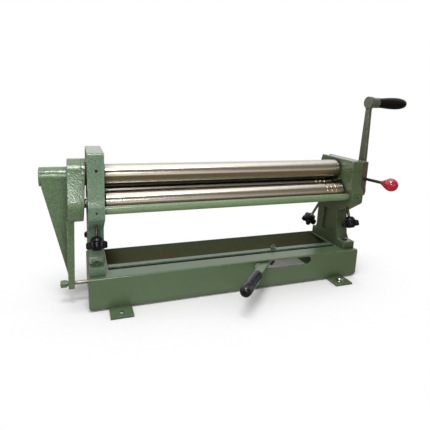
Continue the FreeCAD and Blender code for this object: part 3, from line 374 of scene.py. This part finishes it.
def plastic(name, colour, worn_and_highlit, rough, grain=2500.0, depth=0.00004, wear_and_highlight=0.5, coat=0.0, shine=0.5):
    """Moulded plastic or rubber with a fine grain and edges painted paler, partly as rubbing and partly as
    painted highlight.
    """
    made, tree, shader = finish(name)
    cloudy = blend(tree, use(tree, mottle, Scale=25.0, Contrast=1.6), colour, scaled(colour, 1.5))
    # edges painted paler: partly rubbing, partly painted highlight
    paled_edges = blend(tree, use(tree, edge_wear_and_highlight, Width=0.002, Amount=wear_and_highlight), cloudy, worn_and_highlit)
    tree.links.new(paled_edges, shader.inputs["Base Color"])
    uneven = use(tree, mottle, Scale=70.0, Contrast=1.8)
    gloss = spread_over(tree, uneven, 0.0, 1.0, rough - 0.06, rough + 0.1)
    tree.links.new(gloss, shader.inputs["Roughness"])
    height = use(tree, moulded, Grain=grain)
    relief = add(tree, "ShaderNodeBump", {"Height": height, "Distance": depth, "Strength": 0.6})
    tree.links.new(relief.outputs[0], shader.inputs["Normal"])
    shader.inputs["Coat Weight"].default_value = coat
    shader.inputs["Specular IOR Level"].default_value = shine
    return made


def turned_piece(name, node, slot, material, profile, start, along, sides=64, hollow=False):
    """A piece made on the lathe, in the place of a CAD node."""
    return show(name, settled(lathe(profile, start, along, sides, hollow)), node, slot, material)


black_steel = plastic("black oxide", srgb(26, 26, 28), srgb(90, 88, 84), 0.34, grain=1800.0, depth=0.00002)
# a lighter copy of the sage: painted light where the light from above catches the bar
lit_bar_enamel = enamel("tie bar enamel with painted light", srgb(124, 150, 118), srgb(160, 176, 150), srgb(56, 58, 40),
                    wear_and_highlight=0.4, dimples=420.0, depth=0.0001)
TIE_REACH, TIE_FRONT, TIE_HEIGHT, TIE_RADIUS, TIE_CHAMFER = 338, 60, 219.3, 9, 0.6
tie_length = 2 * TIE_REACH
tie_profile = [(0, TIE_RADIUS - TIE_CHAMFER), (TIE_CHAMFER, TIE_RADIUS),
               (tie_length - TIE_CHAMFER, TIE_RADIUS), (tie_length, TIE_RADIUS - TIE_CHAMFER)]
turned_piece("painted_tie_bar", "tie_bar", "sage_paint", lit_bar_enamel, tie_profile,
             spot(-TIE_REACH, -TIE_FRONT, TIE_HEIGHT), (1, 0, 0), sides=72)
dress("tie_bar_set_screws", "set_screw_pair", "black_oxide", black_steel, 0.25)

# Foot and hold-down bolts: four capped screws through the castings into nuts under the end
# plates, painted over at the left and bare on top at the right, and a bright hexagon bolt
# with its washer in the right front tab.
def metal(name, colour, dull, rough, lines=900.0, spread=0.1, stain=0.5, depth=0.00001, turned=0.0,
          shade_amount=0.6, reach=0.008):
    """Worked steel: tool lines round or along the piece, with a thin brownish film of oil and painted shade
    where other parts come near.
    """
    made, tree, shader = finish(name)
    film = blend(tree, use(tree, mottle, Scale=22.0, Contrast=2.2), colour, dull)
    stains = maths(tree, "MULTIPLY", use(tree, mottle, Scale=60.0, Contrast=2.5), stain)
    stained = blend(tree, stains, colour, film)
    # painted shade: darker where other parts come near, found by ambient occlusion
    shade_near_parts = blend(tree, use(tree, painted_shade, Reach=reach, Amount=shade_amount), stained, scaled(colour, 0.25))
    tree.links.new(shade_near_parts, shader.inputs["Base Color"])
    shader.inputs["Metallic"].default_value = 1.0
    place = add(tree, "ShaderNodeTexCoord").outputs["Object"]
    spaced = add(tree, "ShaderNodeMapping", {"Vector": place, "Scale": (lines, 2.0, 2.0)}).outputs[0]
    ridges = add(tree, "ShaderNodeTexNoise", {"Vector": spaced, "Scale": 1.0, "Detail": 3.0}).outputs["Fac"]
    tree.links.new(spread_over(tree, ridges, 0.3, 0.7, rough, rough + spread), shader.inputs["Roughness"])
    relief = add(tree, "ShaderNodeBump", {"Height": ridges, "Distance": depth, "Strength": 0.5})
    tree.links.new(relief.outputs[0], shader.inputs["Normal"])
    if turned:
        shader.inputs["Anisotropic"].default_value = turned
        shader.inputs["Anisotropic Rotation"].default_value = 0.25
        round_x = add(tree, "ShaderNodeTangent", direction_type="RADIAL", axis="X")
        tree.links.new(round_x.outputs[0], shader.inputs["Tangent"])
    return made


def geometry_tree(name, **sizes):
    """A tree of geometry nodes that takes points, named sizes and a finish."""
    tree = bpy.data.node_groups.new(name, "GeometryNodeTree")
    tree.interface.new_socket(name="Geometry", in_out="INPUT", socket_type="NodeSocketGeometry")
    number_inputs(tree, sizes)
    tree.interface.new_socket(name="Finish", in_out="INPUT", socket_type="NodeSocketMaterial")
    tree.interface.new_socket(name="Geometry", in_out="OUTPUT", socket_type="NodeSocketGeometry")
    return tree, add(tree, "NodeGroupInput").outputs


def end_tree(tree, shape, material):
    """The end of a tree: plain meshes in one material."""
    real = add(tree, "GeometryNodeRealizeInstances", {0: shape})
    painted = add(tree, "GeometryNodeSetMaterial", {"Geometry": real.outputs[0], "Material": material})
    tree.links.new(painted.outputs[0], add(tree, "NodeGroupOutput").inputs[0])


def raised(tree, shape, height, share=1.0):
    """A shape lifted by a share of a height."""
    lift = add(tree, "ShaderNodeCombineXYZ", {"Z": maths(tree, "MULTIPLY", height, share)})
    moved = add(tree, "GeometryNodeTransform", {"Geometry": shape, "Translation": lift.outputs[0]})
    return moved.outputs[0]


def joined(tree, *shapes):
    """Shapes put together as one."""
    both = add(tree, "GeometryNodeJoinGeometry")
    for shape in shapes:
        tree.links.new(shape, both.inputs[0])
    return both.outputs[0]


CAP_RADIUS, CAP_HEIGHT, CAP_RECESS, CAP_SIDES, RIM_HEIGHT = 6.5, 3.4, 2.9, 36, 0.6
CAP_SIZES = {"Radius": CAP_RADIUS * MM, "Height": CAP_HEIGHT * MM, "Recess": CAP_RECESS * MM}


def cap_tree():
    """Capped screw heads on the points of a mesh: a chamfered drum over a hexagon recess."""
    tree, given = geometry_tree("screw heads", **CAP_SIZES)
    drum = add(tree, "GeometryNodeMeshCylinder",
               {"Radius": given["Radius"], "Depth": given["Height"], "Vertices": CAP_SIDES})
    rim = add(tree, "GeometryNodeMeshCone",
              {"Radius Bottom": given["Radius"], "Depth": RIM_HEIGHT * MM, "Vertices": CAP_SIDES,
               "Radius Top": maths(tree, "MULTIPLY", given["Radius"], 0.92)})
    recess = add(tree, "GeometryNodeMeshCylinder",
                 {"Radius": given["Recess"], "Depth": given["Height"], "Vertices": 6})
    cutter = add(tree, "GeometryNodeMeshBoolean", operation="DIFFERENCE")
    solid = joined(tree, drum.outputs["Mesh"], raised(tree, rim.outputs["Mesh"], given["Height"], 0.5))
    tree.links.new(solid, cutter.inputs[0])
    tree.links.new(raised(tree, recess.outputs["Mesh"], given["Height"], 0.5), cutter.inputs[1])
    heads = add(tree, "GeometryNodeInstanceOnPoints",
                {"Points": given["Geometry"], "Instance": cutter.outputs[0]})
    end_tree(tree, heads.outputs[0], given["Finish"])
    return tree


def grown(tree, points, **sizes):
    """The plain mesh that a tree of geometry nodes makes on some points."""
    mesh = bpy.data.meshes.new("seeds")
    mesh.from_pydata(points, [], [])
    holder = bpy.data.objects.new("seeds", mesh)
    bpy.context.scene.collection.objects.link(holder)
    work = holder.modifiers.new("work", "NODES")
    work.node_group = tree
    for socket in tree.interface.items_tree:
        if socket.in_out == "INPUT" and socket.name in sizes:
            work[socket.identifier] = sizes[socket.name]
    result = bpy.data.meshes.new_from_object(holder.evaluated_get(bpy.context.evaluated_depsgraph_get()))
    bpy.data.objects.remove(holder)
    return result


zinc = metal("bright zinc", srgb(205, 208, 212), srgb(168, 170, 176), 0.22, lines=300.0, spread=0.12,
             stain=0.6)
sage_enamel = enamel("sage enamel", srgb(103, 128, 98), srgb(150, 168, 140), srgb(56, 56, 38))
HEAD_PLACE = {"left": -327, "right": 327}
FOOT_TOP, FOOT_BOLT_ROWS = 95, (-49, 68)
foot_spots = [spot(x, y, FOOT_TOP + CAP_HEIGHT / 2) for x in HEAD_PLACE.values() for y in FOOT_BOLT_ROWS]
caps = grown(cap_tree(), foot_spots, **CAP_SIZES, Finish=black_steel)
caps = show("foot_bolt_caps", settled(caps, angle=30), "foot_bolts", "black_oxide",
            black_steel, sage_enamel, zinc)
cap_face = spot(0, 0, FOOT_TOP + CAP_HEIGHT - 0.5).z
for face in caps.data.polygons:
    on_top = face.normal.z > 0.9 and face.center.z > cap_face
    face.material_index = 1 if face.center.x < 0 else 2 * on_top
dress("foot_nuts", "nuts_under_base", "zinc", zinc, 0.3)
HOLD_DOWN, STRAP_THICKNESS = (281, -103), 5
WASHER_BORE, WASHER_RADIUS, WASHER_THICKNESS = 5.2, 10.4, 1.6
washer_half = [(0.2, WASHER_BORE), (0, WASHER_BORE + 0.4), (0, WASHER_RADIUS - 0.3), (0.3, WASHER_RADIUS)]
washer_profile = washer_half + [(WASHER_THICKNESS - inward, radius) for inward, radius in washer_half[::-1]]
turned_piece("hold_down_ring", "hold_down_washer", "zinc", zinc, washer_profile,
             spot(*HOLD_DOWN, STRAP_THICKNESS), (0, 0, 1), sides=48, hollow=True)


def hexagon_head(middle, flats, height, shank, shank_depth):
    """A hexagon head with its corners turned off, a flat ring on top and a round shank below."""
    def place(level, limit, turn):
        from_flat = (turn + math.pi / 6) % (math.pi / 3) - math.pi / 6
        reach = min(limit, flats / 2 / math.cos(from_flat))
        return middle + Vector((math.cos(turn) * reach, math.sin(turn) * reach, level)) * MM

    corner = flats / math.sqrt(3)
    levels = ((-shank_depth, shank), (0, shank), (0, flats * 0.48), (0.5, corner), (height - 1.5, corner),
              (height, flats * 0.46), (height - 0.35, flats * 0.4))
    return skin([[place(level, limit, turn) for turn in turns(48)] for level, limit in levels])


hold_down = hexagon_head(spot(*HOLD_DOWN, STRAP_THICKNESS + WASHER_THICKNESS),
                         flats=16, height=6.6, shank=4.9, shank_depth=6.4)
show("hold_down_screw", settled(hold_down, angle=28), "hold_down_bolt", "zinc", zinc)

# Rolls: ground and polished round steel on turned journals. The two lower ones have three
# half-round grooves for wire near the right end. A thin film of oil browns them, and where
# they come near each other they are painted darker, as painted shade in the nip.
roll_steel = metal("polished roll steel", srgb(205, 200, 190), srgb(178, 166, 146), 0.25, lines=30.0,
                   spread=0.02, stain=0.2, depth=0.0, turned=0.9, shade_amount=0.8, reach=0.03)
groove_steel = metal("wire groove steel", srgb(214, 196, 160), srgb(160, 132, 92), 0.16, spread=0.08,
                     stain=0.8)
journal_steel = metal("turned steel", srgb(150, 146, 138), srgb(110, 102, 90), 0.3, lines=2600.0,
                      spread=0.12, stain=0.8)
ROLL_END, ROLL_RADIUS, ROLL_SIDES = 306, 25, 160
JOURNAL, CENTRE_HOLE, END_INSET, CHAMFER, ROUNDING, STRETCH = 10, 1.5, 0.8, 1.2, 0.35, 60
GROOVES, GROOVE_RADIUS, GROOVE_SINK, GROOVE_LIP = (256, 269, 282), 2.5, 0.12, 0.3


def roll_profile(left, right, grooves):
    """A roll's outline from one journal's end to the other's, in millimetres from its middle."""
    journal_end = [(END_INSET, CENTRE_HOLE), (END_INSET, JOURNAL - CHAMFER), (END_INSET + CHAMFER, JOURNAL)]
    shoulder = [(0, JOURNAL), (0, ROLL_RADIUS - CHAMFER), (ROUNDING, ROLL_RADIUS - ROUNDING),
                (CHAMFER, ROLL_RADIUS)]
    profile = [(left + inward, radius) for inward, radius in journal_end]
    profile += [(-ROLL_END + inward, radius) for inward, radius in shoulder]
    profile += [(-ROLL_END + CHAMFER + step * STRETCH, ROLL_RADIUS) for step in range(1, 9)]
    for middle in grooves:
        profile.append((middle - GROOVE_RADIUS - GROOVE_LIP, ROLL_RADIUS))
        for turn in (math.pi * step / 8 for step in range(9)):
            profile.append((middle - GROOVE_RADIUS * math.cos(turn),
                            ROLL_RADIUS - GROOVE_SINK - GROOVE_RADIUS * math.sin(turn)))
        profile.append((middle + GROOVE_RADIUS + GROOVE_LIP, ROLL_RADIUS))
    profile += [(ROLL_END - inward, radius) for inward, radius in shoulder[::-1]]
    profile += [(right - inward, radius) for inward, radius in journal_end[::-1]]
    return profile


TOP_AXIS = 283.5
FRONT_LEAN, FRONT_REACH = math.radians(24.5), 61.5
REAR_LEAN, REAR_REACH = math.radians(33.5), 52.5
LINES = {"front": (-FRONT_LEAN, FRONT_REACH), "rear": (REAR_LEAN, REAR_REACH)}


def on_line(line, distance, x=0.0):
    """A place below the top roll's axis on the line that a lower roll's screws follow."""
    lean = LINES[line][0]
    return spot(x, distance * math.sin(lean), TOP_AXIS - distance * math.cos(lean))


JOURNAL_END, GEARED_TOP_END, GEARED_FRONT_END, CRANK_END = 343.5, 437, 370.5, 383
# nearer the axis than this, a roll is turned and not polished
END_FACE = 18
for node, left, right, grooves, centre in (
        ("top_roll", -GEARED_TOP_END, JOURNAL_END, (), spot(0, 0, TOP_AXIS)),
        ("front_roll", -GEARED_FRONT_END, CRANK_END, GROOVES, on_line("front", FRONT_REACH)),
        ("rear_roll", -JOURNAL_END, JOURNAL_END, GROOVES, on_line("rear", REAR_REACH))):
    roll = lathe(roll_profile(left, right, grooves), centre, (1, 0, 0), ROLL_SIDES)
    steel = show(f"{node}_bar", settled(roll), node, "polished_steel",
                 roll_steel, journal_steel, groove_steel)
    for face in steel.data.polygons:
        from_axis = (face.center - centre).yz.length
        cut = any(abs(face.center.x - spot(groove, 0, 0).x) < GROOVE_RADIUS * MM for groove in grooves)
        face.material_index = 1 if from_axis < END_FACE * MM else 2 * cut

# Gears, bushes and pins: plain machined pieces inside the machine, steel gears that keep the
# top roll turning with the front one, bronze bushes in every bearing.
bronze = metal("bearing bronze", srgb(196, 150, 84), srgb(150, 106, 58), 0.3, lines=1800.0, spread=0.12,
               stain=0.8)
gear_steel = metal("cut gear steel", srgb(122, 120, 116), srgb(84, 78, 68), 0.34, lines=1500.0,
                   spread=0.12, stain=0.9)
for node in ("top_roll_gear", "front_roll_gear"):
    dress(node, f"{node}_cut", "machined_steel", gear_steel, 0.3)
for node in ("front_roll_bushes", "rear_roll_bushes", "swivel_bush", "arm_bush", "end_bush"):
    dress(node, f"{node}_turned", "bronze", bronze, 0.25)
for node in ("cap_hinge_pin", "link_pin", "grip_spindle"):
    dress(node, f"{node}_turned", "machined_steel", journal_steel, 0.4)
dress("front_roll_spacer", "front_spacer_ring", "machined_steel", journal_steel, 0.2)

# Bearing blocks: square cast blocks that slide in the heads, dark with oil. The pin that the
# tilt arm swings on is as dark.
block_iron = metal("oiled cast block", srgb(96, 92, 84), srgb(58, 54, 46), 0.42, lines=400.0, spread=0.15,
                   stain=0.9, depth=0.00004)
for line in LINES:
    for side in ("left", "right"):
        dress(f"{line}_{side}_bearing_block", f"{line}_{side}_block", "cast_block", block_iron, 0.8)
dress("tilt_pivot_pin", "tilt_pivot_pin_turned", "machined_steel", block_iron, 0.4)

# Adjusting screws and star knobs: threaded steel bars under each head, each with a black
# moulded five-lobed knob at its lower end.
thread_steel = metal("threaded steel", srgb(150, 142, 128), srgb(104, 92, 74), 0.3, lines=700.0,
                     spread=0.14, stain=0.9)
knob_black = plastic("black knob plastic", srgb(15, 15, 19), srgb(54, 54, 60), 0.27, grain=1500.0,
                     depth=0.00003, wear_and_highlight=0.35, shine=0.2)
THREAD_ROOT, THREAD_TOP, THREAD_PITCH = 3.45, 4.0, 1.5
THREAD_SIZES = {"Root": THREAD_ROOT * MM, "Depth": (THREAD_TOP - THREAD_ROOT) * MM,
                "Pitch": THREAD_PITCH * MM}


def thread_tree():
    """A screw thread: a diamond section swept up a spiral round a plain core."""
    tree, given = geometry_tree("screw thread", **THREAD_SIZES, Length=70 * MM)
    spiral = add(tree, "GeometryNodeCurveSpiral",
                 {"Resolution": 20, "Start Radius": given["Root"], "End Radius": given["Root"],
                  "Rotations": maths(tree, "DIVIDE", given["Length"], given["Pitch"]),
                  "Height": given["Length"]})
    level = add(tree, "GeometryNodeSetCurveNormal", {"Curve": spiral.outputs[0]}, mode="Z_UP")
    section = add(tree, "GeometryNodeCurvePrimitiveCircle", {"Resolution": 4, "Radius": given["Depth"]})
    ridge = add(tree, "GeometryNodeCurveToMesh",
                {"Curve": level.outputs[0], "Profile Curve": section.outputs[0], "Fill Caps": True})
    core = add(tree, "GeometryNodeMeshCylinder",
               {"Radius": given["Root"], "Depth": given["Length"], "Vertices": 40})
    lifted = raised(tree, core.outputs["Mesh"], given["Length"], 0.5)
    end_tree(tree, joined(tree, ridge.outputs[0], lifted), given["Finish"])
    return tree


LOBES, FIRST_LOBE, LOBE_CIRCLE, LOBE_RADIUS, CORE, KNOB_STEPS = 5, 18, 16.5, 6.5, 14.5, 120
# level from the knob's middle, and how far inside the outline of its lobes
LOBE_LEVELS = ((-11, 3.4), (-10.3, 1.4), (-9, 0.3), (-7.6, 0), (0.4, 0), (2.2, 0.5), (3.6, 1.8), (4.6, 3.6))
# level and radius of the round foot below the lobes and of the dome above them
FOOT_LEVELS = ((-15, 5.5), (-14.7, 8.2), (-13.7, 9.8), (-11.4, 10.6))
DOME_LEVELS = ((5.2, 15), (7.5, 14.2), (10.5, 12.8), (13, 11.2), (14.4, 9.6), (15, 7.6), (15, 4.4))


def knob_outline(turn):
    """How far the lobes reach in one direction."""
    reach = CORE
    for lobe in range(LOBES):
        off = turn - math.radians(360 / LOBES * lobe + FIRST_LOBE)
        inside = LOBE_RADIUS ** 2 - (LOBE_CIRCLE * math.sin(off)) ** 2
        if inside > 0 and math.cos(off) > 0:
            reach = max(reach, LOBE_CIRCLE * math.cos(off) + math.sqrt(inside))
    return reach


def star_knob(line, x, distance):
    """A knob round the screw of a lower roll, so many millimetres down its line."""
    lean = LINES[line][0]
    up = Vector((0, -math.sin(lean), math.cos(lean)))
    away = Vector((0, math.cos(lean), math.sin(lean)))
    middle = on_line(line, distance, x)

    def place(height, turn, reach):
        outwards = Vector((1, 0, 0)) * math.cos(turn) + away * math.sin(turn)
        return middle + (outwards * reach + up * height) * MM

    around = turns(KNOB_STEPS)
    foot = [[place(height, turn, radius) for turn in around] for height, radius in FOOT_LEVELS]
    lobes = [[place(height, turn, knob_outline(turn) - inset) for turn in around]
             for height, inset in LOBE_LEVELS]
    dome = [[place(height, turn, radius) for turn in around] for height, radius in DOME_LEVELS]
    return settled(skin(foot + lobes + dome), angle=50)


KNOB_PLACE = {"front": 149, "rear": 218}
BLOCK_HALF = 16
thread = thread_tree()
for line, (lean, reach) in LINES.items():
    for side, x in HEAD_PLACE.items():
        length = KNOB_PLACE[line] - reach - BLOCK_HALF
        screw = grown(thread, [(0, 0, 0)], **THREAD_SIZES, Length=length * MM, Finish=thread_steel)
        lower_end = Matrix.Translation(on_line(line, KNOB_PLACE[line], x))
        screw.transform(lower_end @ Matrix.Rotation(lean, 4, "X"))
        show(f"{line}_{side}_threaded_bar", settled(screw, angle=35), f"{line}_{side}_adjusting_screw",
             "machined_steel", thread_steel)
        show(f"{line}_{side}_knob", star_knob(line, x, KNOB_PLACE[line]), f"{line}_{side}_star_knob",
             "black_knob", knob_black)

# Tilt arm: one casting with a round boss, a gear housing, a web and a long bar, which swings
# on the pin in the left head and carries the top roll in its swivel block.
dress("tilt_arm", "tilt_arm_casting", "sage_paint", sage_enamel, 1.5)
dress("swivel_block", "swivel_casting", "sage_paint", sage_enamel, 0.8)
dress("housing_screws", "housing_screw_heads", "black_oxide", black_steel, 0.2)
dress("pull_rod", "pull_rod_bar", "machined_steel", journal_steel, 0.4)
dress("pull_rod_nut", "pull_rod_hexagon", "sage_paint", sage_enamel, 0.5)

# Base lever: a flat painted bar on its pivot bolt under the rail, with a black rubber grip
# that has a groove round it and a rounded end.
LEVER_PIVOT, LEVER_TURN, LEVER_MIDDLE = (122, -22), math.radians(227.5), 65.5
along_lever = Vector((math.cos(LEVER_TURN), math.sin(LEVER_TURN), 0))
grip_rubber = plastic("black grip rubber", srgb(17, 18, 25), srgb(62, 63, 74), 0.27, grain=1700.0, wear_and_highlight=0.4)
dress("base_lever", "base_lever_bar", "sage_paint", sheet_enamel, 1.3)
# distance from the pivot and radius of the mouth, the body, its groove and the rounded end
lever_grip_profile = [(145, 9.6), (145.3, 10.8), (146.4, 11.9), (149, 12.6), (153, 12.9), (180, 13),
                      (209.4, 13), (210, 12.4), (211.2, 12.4), (211.8, 13.1), (213.5, 13.4), (220, 13.5),
                      (230, 13.2), (235, 12.5), (237.8, 11.6), (240.4, 9.5), (241.8, 7.6), (242.4, 6),
                      (242.5, 4), (240, 3.4), (239.8, 0.8)]
turned_piece("lever_hand_grip", "base_lever_grip", "black_grip", grip_rubber, lever_grip_profile,
             spot(*LEVER_PIVOT, LEVER_MIDDLE), along_lever, sides=72)
dress("lever_pivot_bolt", "pivot_bolt_turned", "sage_paint", sage_enamel, 0.4)
dress("lever_pivot_nut", "pivot_nut_turned", "zinc", zinc, 0.3)

# Cap and lock: the cap over the right journal swings back on its pin once the ball handle
# has turned the bare steel plate off its stud.
plate_steel = metal("bare steel plate", srgb(150, 138, 132), srgb(116, 98, 86), 0.44, lines=240.0,
                    spread=0.16, stain=0.9, depth=0.00003)
# the cap takes the darker enamel of the right casting, as painted shade
dress("journal_cap", "journal_cap_casting", "dark_sage_paint", shaded_sage_enamel, 1.2)
dress("lock_plate", "lock_plate_cut", "bare_plate", plate_steel, 0.6)
dress("lock_pivot_screw", "lock_screw_turned", "black_oxide", black_steel, 0.4)
dress("catch_stud", "catch_stud_turned", "machined_steel", journal_steel, 0.4)
HANDLE_TILT = math.radians(2.6)
forward = Vector((0, -math.cos(HANDLE_TILT), math.sin(HANDLE_TILT)))
handle_root = spot(351.15, -69.5, 268.5)
BALL_REACH, BALL_RADIUS, ROD_RADIUS = 90, 16, 3.8
rod_profile = [(-14, ROD_RADIUS - 0.5), (-13.5, ROD_RADIUS), (BALL_REACH - 4, ROD_RADIUS),
               (BALL_REACH, ROD_RADIUS - 0.4)]
turned_piece("black_handle_rod", "lock_handle_rod", "black_oxide", black_steel, rod_profile, handle_root,
             forward, sides=40)
ball_red = plastic("glossy red ball", srgb(170, 23, 50), srgb(214, 92, 110), 0.16, grain=900.0,
                   depth=0.00005, wear_and_highlight=0.1, coat=0.8)
ball_neck = [(62, 4.0), (62, 5.4), (62.4, 6.0), (66, 7.1), (70, 8.8), (74, 10.8), (78, 12.7)]
ball_profile = ball_neck + [(BALL_REACH - BALL_RADIUS * math.cos(turn), BALL_RADIUS * math.sin(turn))
                            for turn in (math.radians(56 + 4 * step) for step in range(31))]
turned_piece("red_ball", "red_ball_knob", "red_ball", ball_red, ball_profile, handle_root, forward)

# Crank: a tapered painted arm on the front roll's end, held by a set screw, with a black
# hand grip that turns on its spindle.
grip_black = plastic("black crank grip", srgb(9, 9, 10), srgb(44, 44, 46), 0.42, grain=1700.0,
                     depth=0.00006, wear_and_highlight=0.3, shine=0.2)
crank_enamel = enamel("handled crank enamel", srgb(92, 100, 86), srgb(150, 150, 140), srgb(52, 52, 42),
                      wear_and_highlight=0.9)
dress("crank_arm", "crank_arm_casting", "dark_sage_paint", crank_enamel, 1.2)
dress("crank_set_screw", "crank_set_screw_turned", "black_oxide", black_steel, 0.3)
CRANK_LENGTH = 237.4
# distance from the base's middle and radius of the collar, the waist, the palm and the end
crank_grip_profile = [(402.4, 11.6), (402.7, 12.6), (404, 13.1), (407, 12.9), (411, 12.7), (420, 13.2),
                      (430, 14.2), (440, 15), (452, 15.4), (460, 15.5), (468, 15.3), (476, 14.6),
                      (483, 13.4), (489, 11.8), (493, 10.2), (495.6, 8.2), (496.7, 6), (497, 3.5),
                      (496.4, 3), (496.2, 0.8)]
turned_piece("crank_hand_grip", "crank_grip", "black_grip", grip_black, crank_grip_profile,
             on_line("front", FRONT_REACH) + Vector((0, 0, CRANK_LENGTH * MM)), (1, 0, 0))

# Floor: a pale bench that stays white where the machine doesn't shade it. The bright steel
# mirrors it as the brown of a wooden bench.
FLOOR_HALF = 9000 * MM
floor_corners = [(x * FLOOR_HALF, y * FLOOR_HALF, 0) for x, y in ((-1, -1), (1, -1), (1, 1), (-1, 1))]
floor_mesh = bpy.data.meshes.new("floor")
floor_mesh.from_pydata(floor_corners, [], [(0, 1, 2, 3)])
floor = bpy.data.objects.new("floor", floor_mesh)
bpy.context.scene.collection.objects.link(floor)


def straight_rays(tree):
    """Light rays by kind, and a mask of those that show the background as it is."""
    rays = add(tree, "ShaderNodeLightPath").outputs
    mirrored = maths(tree, "MAXIMUM", rays["Is Glossy Ray"], rays["Is Transmission Ray"])
    return rays, maths(tree, "MAXIMUM", rays["Is Camera Ray"], mirrored)


WHITE = (1, 1, 1, 1)
pale, tree, shader = finish("pale floor")
floor_mesh.materials.append(pale)
shader.inputs["Base Color"].default_value = (0.9, 0.9, 0.9, 1)
shader.inputs["Roughness"].default_value = 0.9
rays, seen = straight_rays(tree)
open_floor = add(tree, "ShaderNodeAmbientOcclusion", {"Distance": 0.35}, samples=8)
unshaded = spread_over(tree, open_floor.outputs["AO"], 0.45, 0.85)
colour = blend(tree, rays["Is Glossy Ray"], WHITE, (0.2, 0.15, 0.095, 1))
glow = add(tree, "ShaderNodeEmission", {"Color": colour, "Strength": 1.0})
both = add(tree, "ShaderNodeMixShader",
           {0: maths(tree, "MULTIPLY", seen, unshaded), 1: shader.outputs[0], 2: glow.outputs[0]})
tree.links.new(both.outputs[0], tree.nodes["Material Output"].inputs["Surface"])

# The room: white behind the machine and overhead, dim and brownish in front of it with one
# wide window, which the bright steel mirrors in bands.
world = bpy.data.worlds.new("studio")
bpy.context.scene.world = world
world.use_nodes = True
tree = world.node_tree
rays, seen = straight_rays(tree)
way = add(tree, "ShaderNodeVectorMath", {0: add(tree, "ShaderNodeTexCoord").outputs["Generated"]},
          operation="NORMALIZE")
parts = add(tree, "ShaderNodeSeparateXYZ", {0: way.outputs[0]}).outputs


def ramp(tree, value, stops):
    """Colours along a value that runs from -1 to 1; a stop with one number is a grey."""
    made = add(tree, "ShaderNodeValToRGB", {0: spread_over(tree, value, -1.0, 1.0)})
    while len(made.color_ramp.elements) < len(stops):
        made.color_ramp.elements.new(0.5)
    for element, (level, *colour) in zip(made.color_ramp.elements, stops):
        element.position = (level + 1) / 2
        element.color = (*(colour * 3)[:3], 1)
    return made.outputs[0]


walls = ramp(tree, parts["Z"], ((-1, 0.13, 0.09, 0.05), (0.1, 0.1, 0.075, 0.045),
                                (0.28, 0.2, 0.18, 0.14), (0.6, 0.22, 0.19, 0.145),
                                (0.82, 0.26, 0.23, 0.18), (0.95, 1.0, 0.97, 0.92)))
window_height = ramp(tree, parts["Z"], ((-0.12, 0), (0.04, 0.75), (0.14, 1), (0.26, 0.6), (0.42, 0)))
window_width = ramp(tree, parts["X"], ((-0.95, 0.04), (-0.6, 0.7), (0.0, 1), (0.1, 0.93), (0.3, 0.5),
                                       (0.5, 0.2), (0.85, 0.03)))
window = blend(tree, 1.0, window_height, window_width, "MULTIPLY")
bright = blend(tree, 1.0, window, (1.7, 1.6, 1.45, 1), "MULTIPLY")
front = blend(tree, 1.0, walls, bright, "ADD")
behind = spread_over(tree, parts["Y"], -0.3, 0.1, interpolation_type="SMOOTHSTEP")
around = blend(tree, behind, front, WHITE)
shown = blend(tree, rays["Is Glossy Ray"], WHITE, around)
tree.links.new(shown, tree.nodes["Background"].inputs["Color"])
tree.links.new(spread_over(tree, seen, 0.0, 1.0, 0.2, 1.0), tree.nodes["Background"].inputs["Strength"])


# Lamps: plain soft light from a small softbox at the left front, a longer one high above the
# front and a wide one at the ceiling.
def lamp(name, place, aim, size, power):
    light = bpy.data.lights.new(name, "AREA")
    light.shape = "RECTANGLE"
    light.size, light.size_y = size
    light.energy = power
    holder = bpy.data.objects.new(name, light)
    holder.location = place
    holder.rotation_euler = (Vector(aim) - Vector(place)).to_track_quat("-Z", "Y").to_euler()
    bpy.context.scene.collection.objects.link(holder)


lamp("front_softbox", spot(-520, -960, 760), spot(-250, 0, 200), (0.3, 0.22), 4)
lamp("overhead_softbox", spot(-340, -520, 1640), spot(-100, 0, 250), (0.5, 0.3), 13)
lamp("ceiling_softbox", (0.1, 0.3, 2.2), (0, 0, 0.2), (2.2, 1.5), 8)

# Camera: where the photograph was taken from, with the same field of view, fitted to the
# base's corners, the rolls' ends and the castings. The picture's own sizes are in pixels.
YAW, PITCH, ROLL = 0.343677, 0.200391, 0.040592
EYE = (-365.7, -859.9, 460.8)
PICTURE_SIDE, FOCUS, MIDDLE_COLUMN, MIDDLE_ROW = 430, 381.9, 209.2, 175.4
SENSOR = 36
ahead = Vector((math.sin(YAW) * math.cos(PITCH), math.cos(YAW) * math.cos(PITCH), -math.sin(PITCH)))
level = Vector((math.cos(YAW), -math.sin(YAW), 0))
upright = level.cross(ahead)
right = level * math.cos(ROLL) + upright * math.sin(ROLL)
upward = upright * math.cos(ROLL) - level * math.sin(ROLL)
camera_data = bpy.data.cameras.new("camera")
camera = bpy.data.objects.new("camera", camera_data)
bpy.context.scene.collection.objects.link(camera)
turned_to = Matrix((right, upward, -ahead)).transposed()
camera.matrix_world = Matrix.Translation(spot(*EYE)) @ turned_to.to_4x4()
camera_data.sensor_width = SENSOR
camera_data.lens = FOCUS / PICTURE_SIDE * SENSOR
camera_data.shift_x = (PICTURE_SIDE / 2 - MIDDLE_COLUMN) / PICTURE_SIDE
camera_data.shift_y = (MIDDLE_ROW - PICTURE_SIDE / 2) / PICTURE_SIDE
bpy.context.scene.camera = camera
bpy.context.scene.view_settings.view_transform = "Standard"
